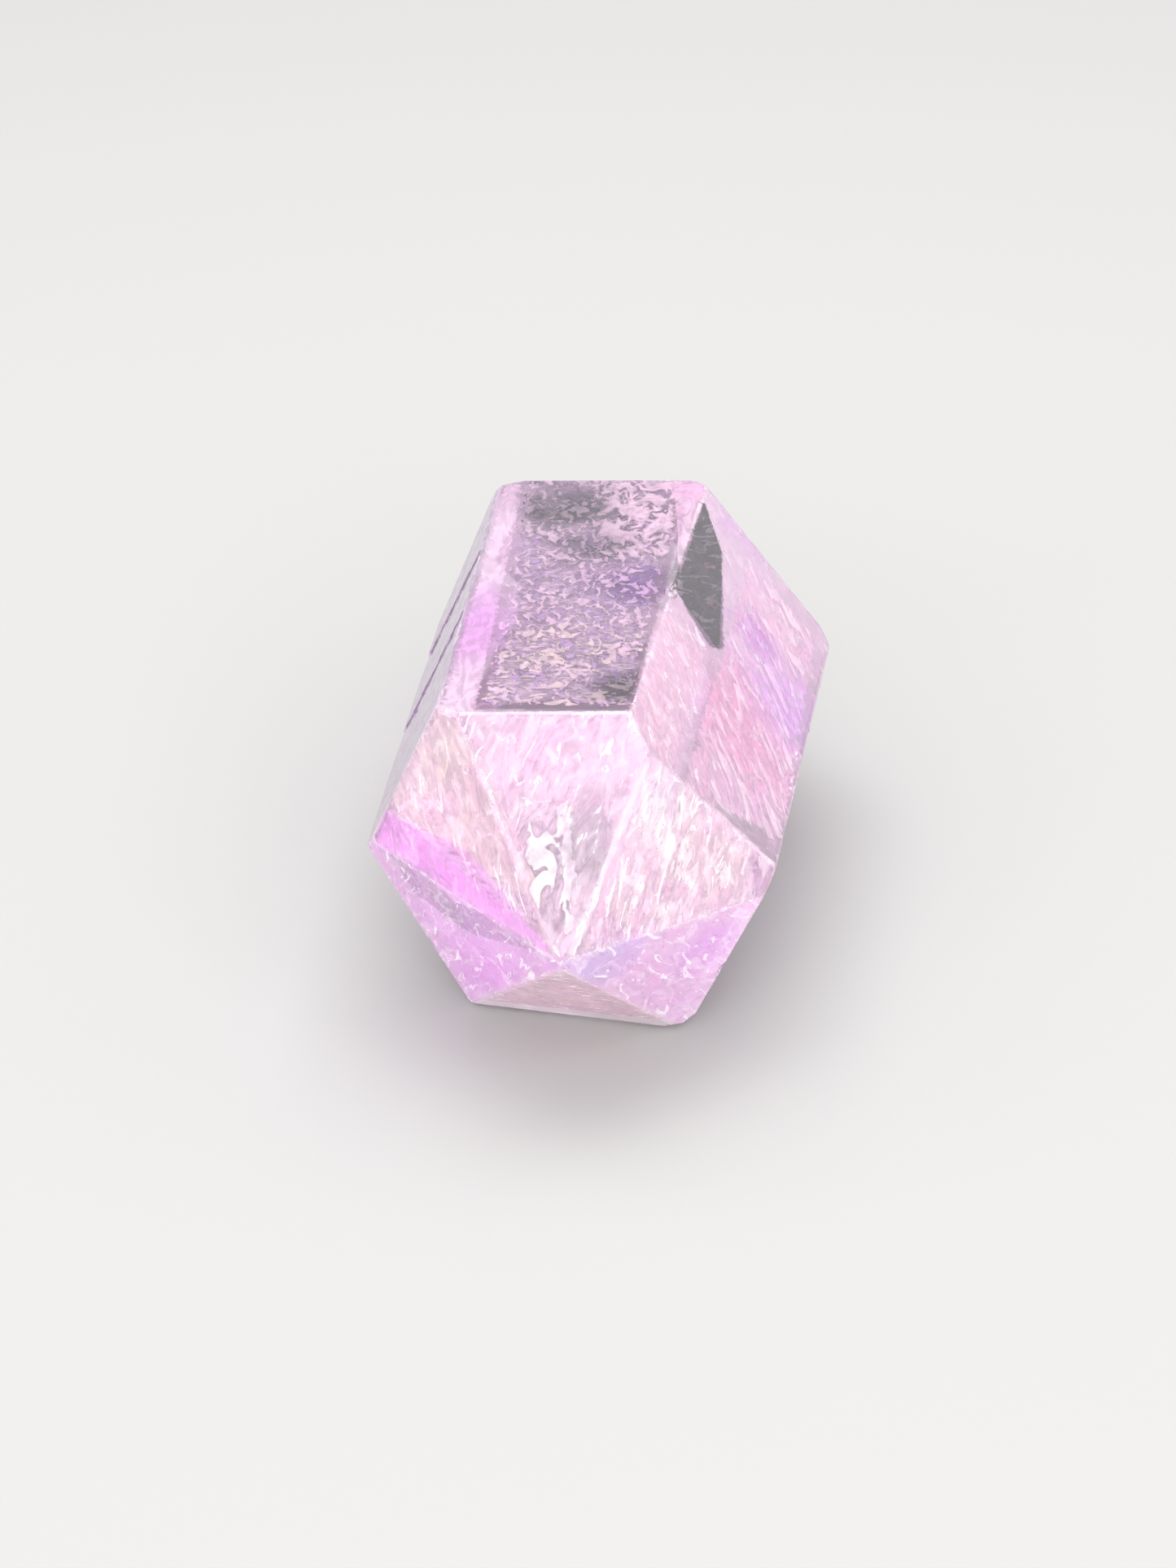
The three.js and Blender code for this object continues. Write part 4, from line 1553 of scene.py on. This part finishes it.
FLAKES = (
    Flakes(
        "curled_flakes_top", "top", "#ffe8f4", 51,
        ((-0.8, 31.5), (9.0, 30.1), (9.8, 8.6), (1.0, 9.1)),
        depths=(1.3, 1.3), grain=(2.6, 4.6), crumple=0.55, ragged=1.4, step=0.18, rarity=-0.15, plump=0.3,
    ),
    Flakes(
        "small_flakes_top", "top", "#ffe6f6", 61, WINDOW,
        (Spot((1.0, -13.9), 8.0, "#fff4e0"),),
        depths=(1.5, 0.45), grain=(1.0, 1.5), crumple=0.3, step=0.18, plump=0.12, clusters=0.55,
    ),
    Flakes(
        "lined_flakes_near", "top", "#fff2e6", 71,
        ((-5.4, -8.9), (10.0, -8.9), (10.0, -27.9), (-5.4, -27.9)),
        depths=(1.2, 0.45), grain=(3.6, 1.3), ragged=1.0, rarity=0.42, plump=0.09,
    ),
    Flakes(
        "fracture_glints_near", "near_top", "#ffffff", 81,
        ((-2.7, 3.9), (3.1, 3.9), (4.3, -10.4), (-1.5, -10.4)),
        depths=(0.4, 0.4), grain=(1.9, 4.2), crumple=0.08, turn=2, ragged=1.0, step=0.14, rarity=-0.15,
        plump=0.16,
    ),
    Flakes(
        "streak_flakes_right", "upper_right", "#fff6fa", 91,
        ((-1.2, 27.4), (9.3, 25.4), (11.1, -21.6), (-2.7, -28.6)),
        depths=(0.6, 0.6), grain=(1.9, 6.5), turn=37, ragged=1.5, rarity=0.38, plump=0.16,
    ),
    Flakes(
        "streak_flakes_near_right", "near_upper_right", "#fffdfb", 101,
        ((-8.6, 7.0), (7.4, 11.0), (4.9, -4.0), (-0.6, -9.0)),
        depths=(0.5, 0.5), grain=(1.2, 5.0), crumple=0.1, turn=34, step=0.16, rarity=0.42, plump=0.08,
    ),
    Flakes(
        "lilac_flakes_top", "top", "#cba6da", 111, WINDOW,
        # Painted shade: the grey-black spot darkens these flakes where the window's painted shade is
        # darkest.
        (Spot((-3.7, 22.6), 8.0, "#4d4652", 0.95), Spot((8.0, 1.1), 7.0, "#8558ac", 0.9)),
        depths=(2.2, 0.6), grain=(1.2, 1.4), crumple=0.25,
    ),
    Flakes(
        "scratch_flakes_right", "upper_right", "#eadfe4", 121, PAINTED_SHADE_PATCH,
        (Spot((-8.2, 15.4), 3.0, "#e2a39a", 0.9), Spot((-4.2, 8.4), 2.5, "#dda09c", 0.9)),
        depths=(0.7, 0.7), grain=(0.9, 6.0), crumple=0.05, turn=-28, ragged=0.5, step=0.13, rarity=0.42,
        plump=0.09, clusters=0.2,
    ),
)


# ---- Putting it together ------------------------------------------------------------------------


def seat(piece: bpy.types.Object) -> bpy.types.Object:
    """Lets a piece ride on the crystal's one body, and logs how many triangles it has.

    Args:
        piece: The piece, which is also reported.

    Returns:
        The same piece.
    """
    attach(piece, BODY)
    triangles = sum(len(polygon.vertices) - 2 for polygon in piece.data.polygons)
    log.info("%s: %d triangles", piece.name, triangles)
    return piece


def main() -> None:
    """Builds the studio, the crystal and what lies in it, and reports each piece."""
    logging.basicConfig(level=logging.INFO, format="%(name)s: %(message)s")
    Studio().build()
    crystal = Crystal(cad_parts[NODE], RubbedAmethyst(), FACE_TONES_AND_HIGHLIGHT, GROWTH_AND_PAINTED_REGIONS)
    body = seat(crystal.build())
    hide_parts(NODE)
    for finish, veils in VEILS.items():
        clouded = finish.material()
        for veil in veils:
            seat(veil.build(crystal.faces, clouded))
    pale = HealedFracture().material()
    seat(crystal.bruises(pale))
    for flakes in FLAKES:
        seat(flakes.build(crystal.faces, pale))
    bpy.context.scene.view_settings.view_transform = "Standard"


if __name__ == "__main__":
    main()
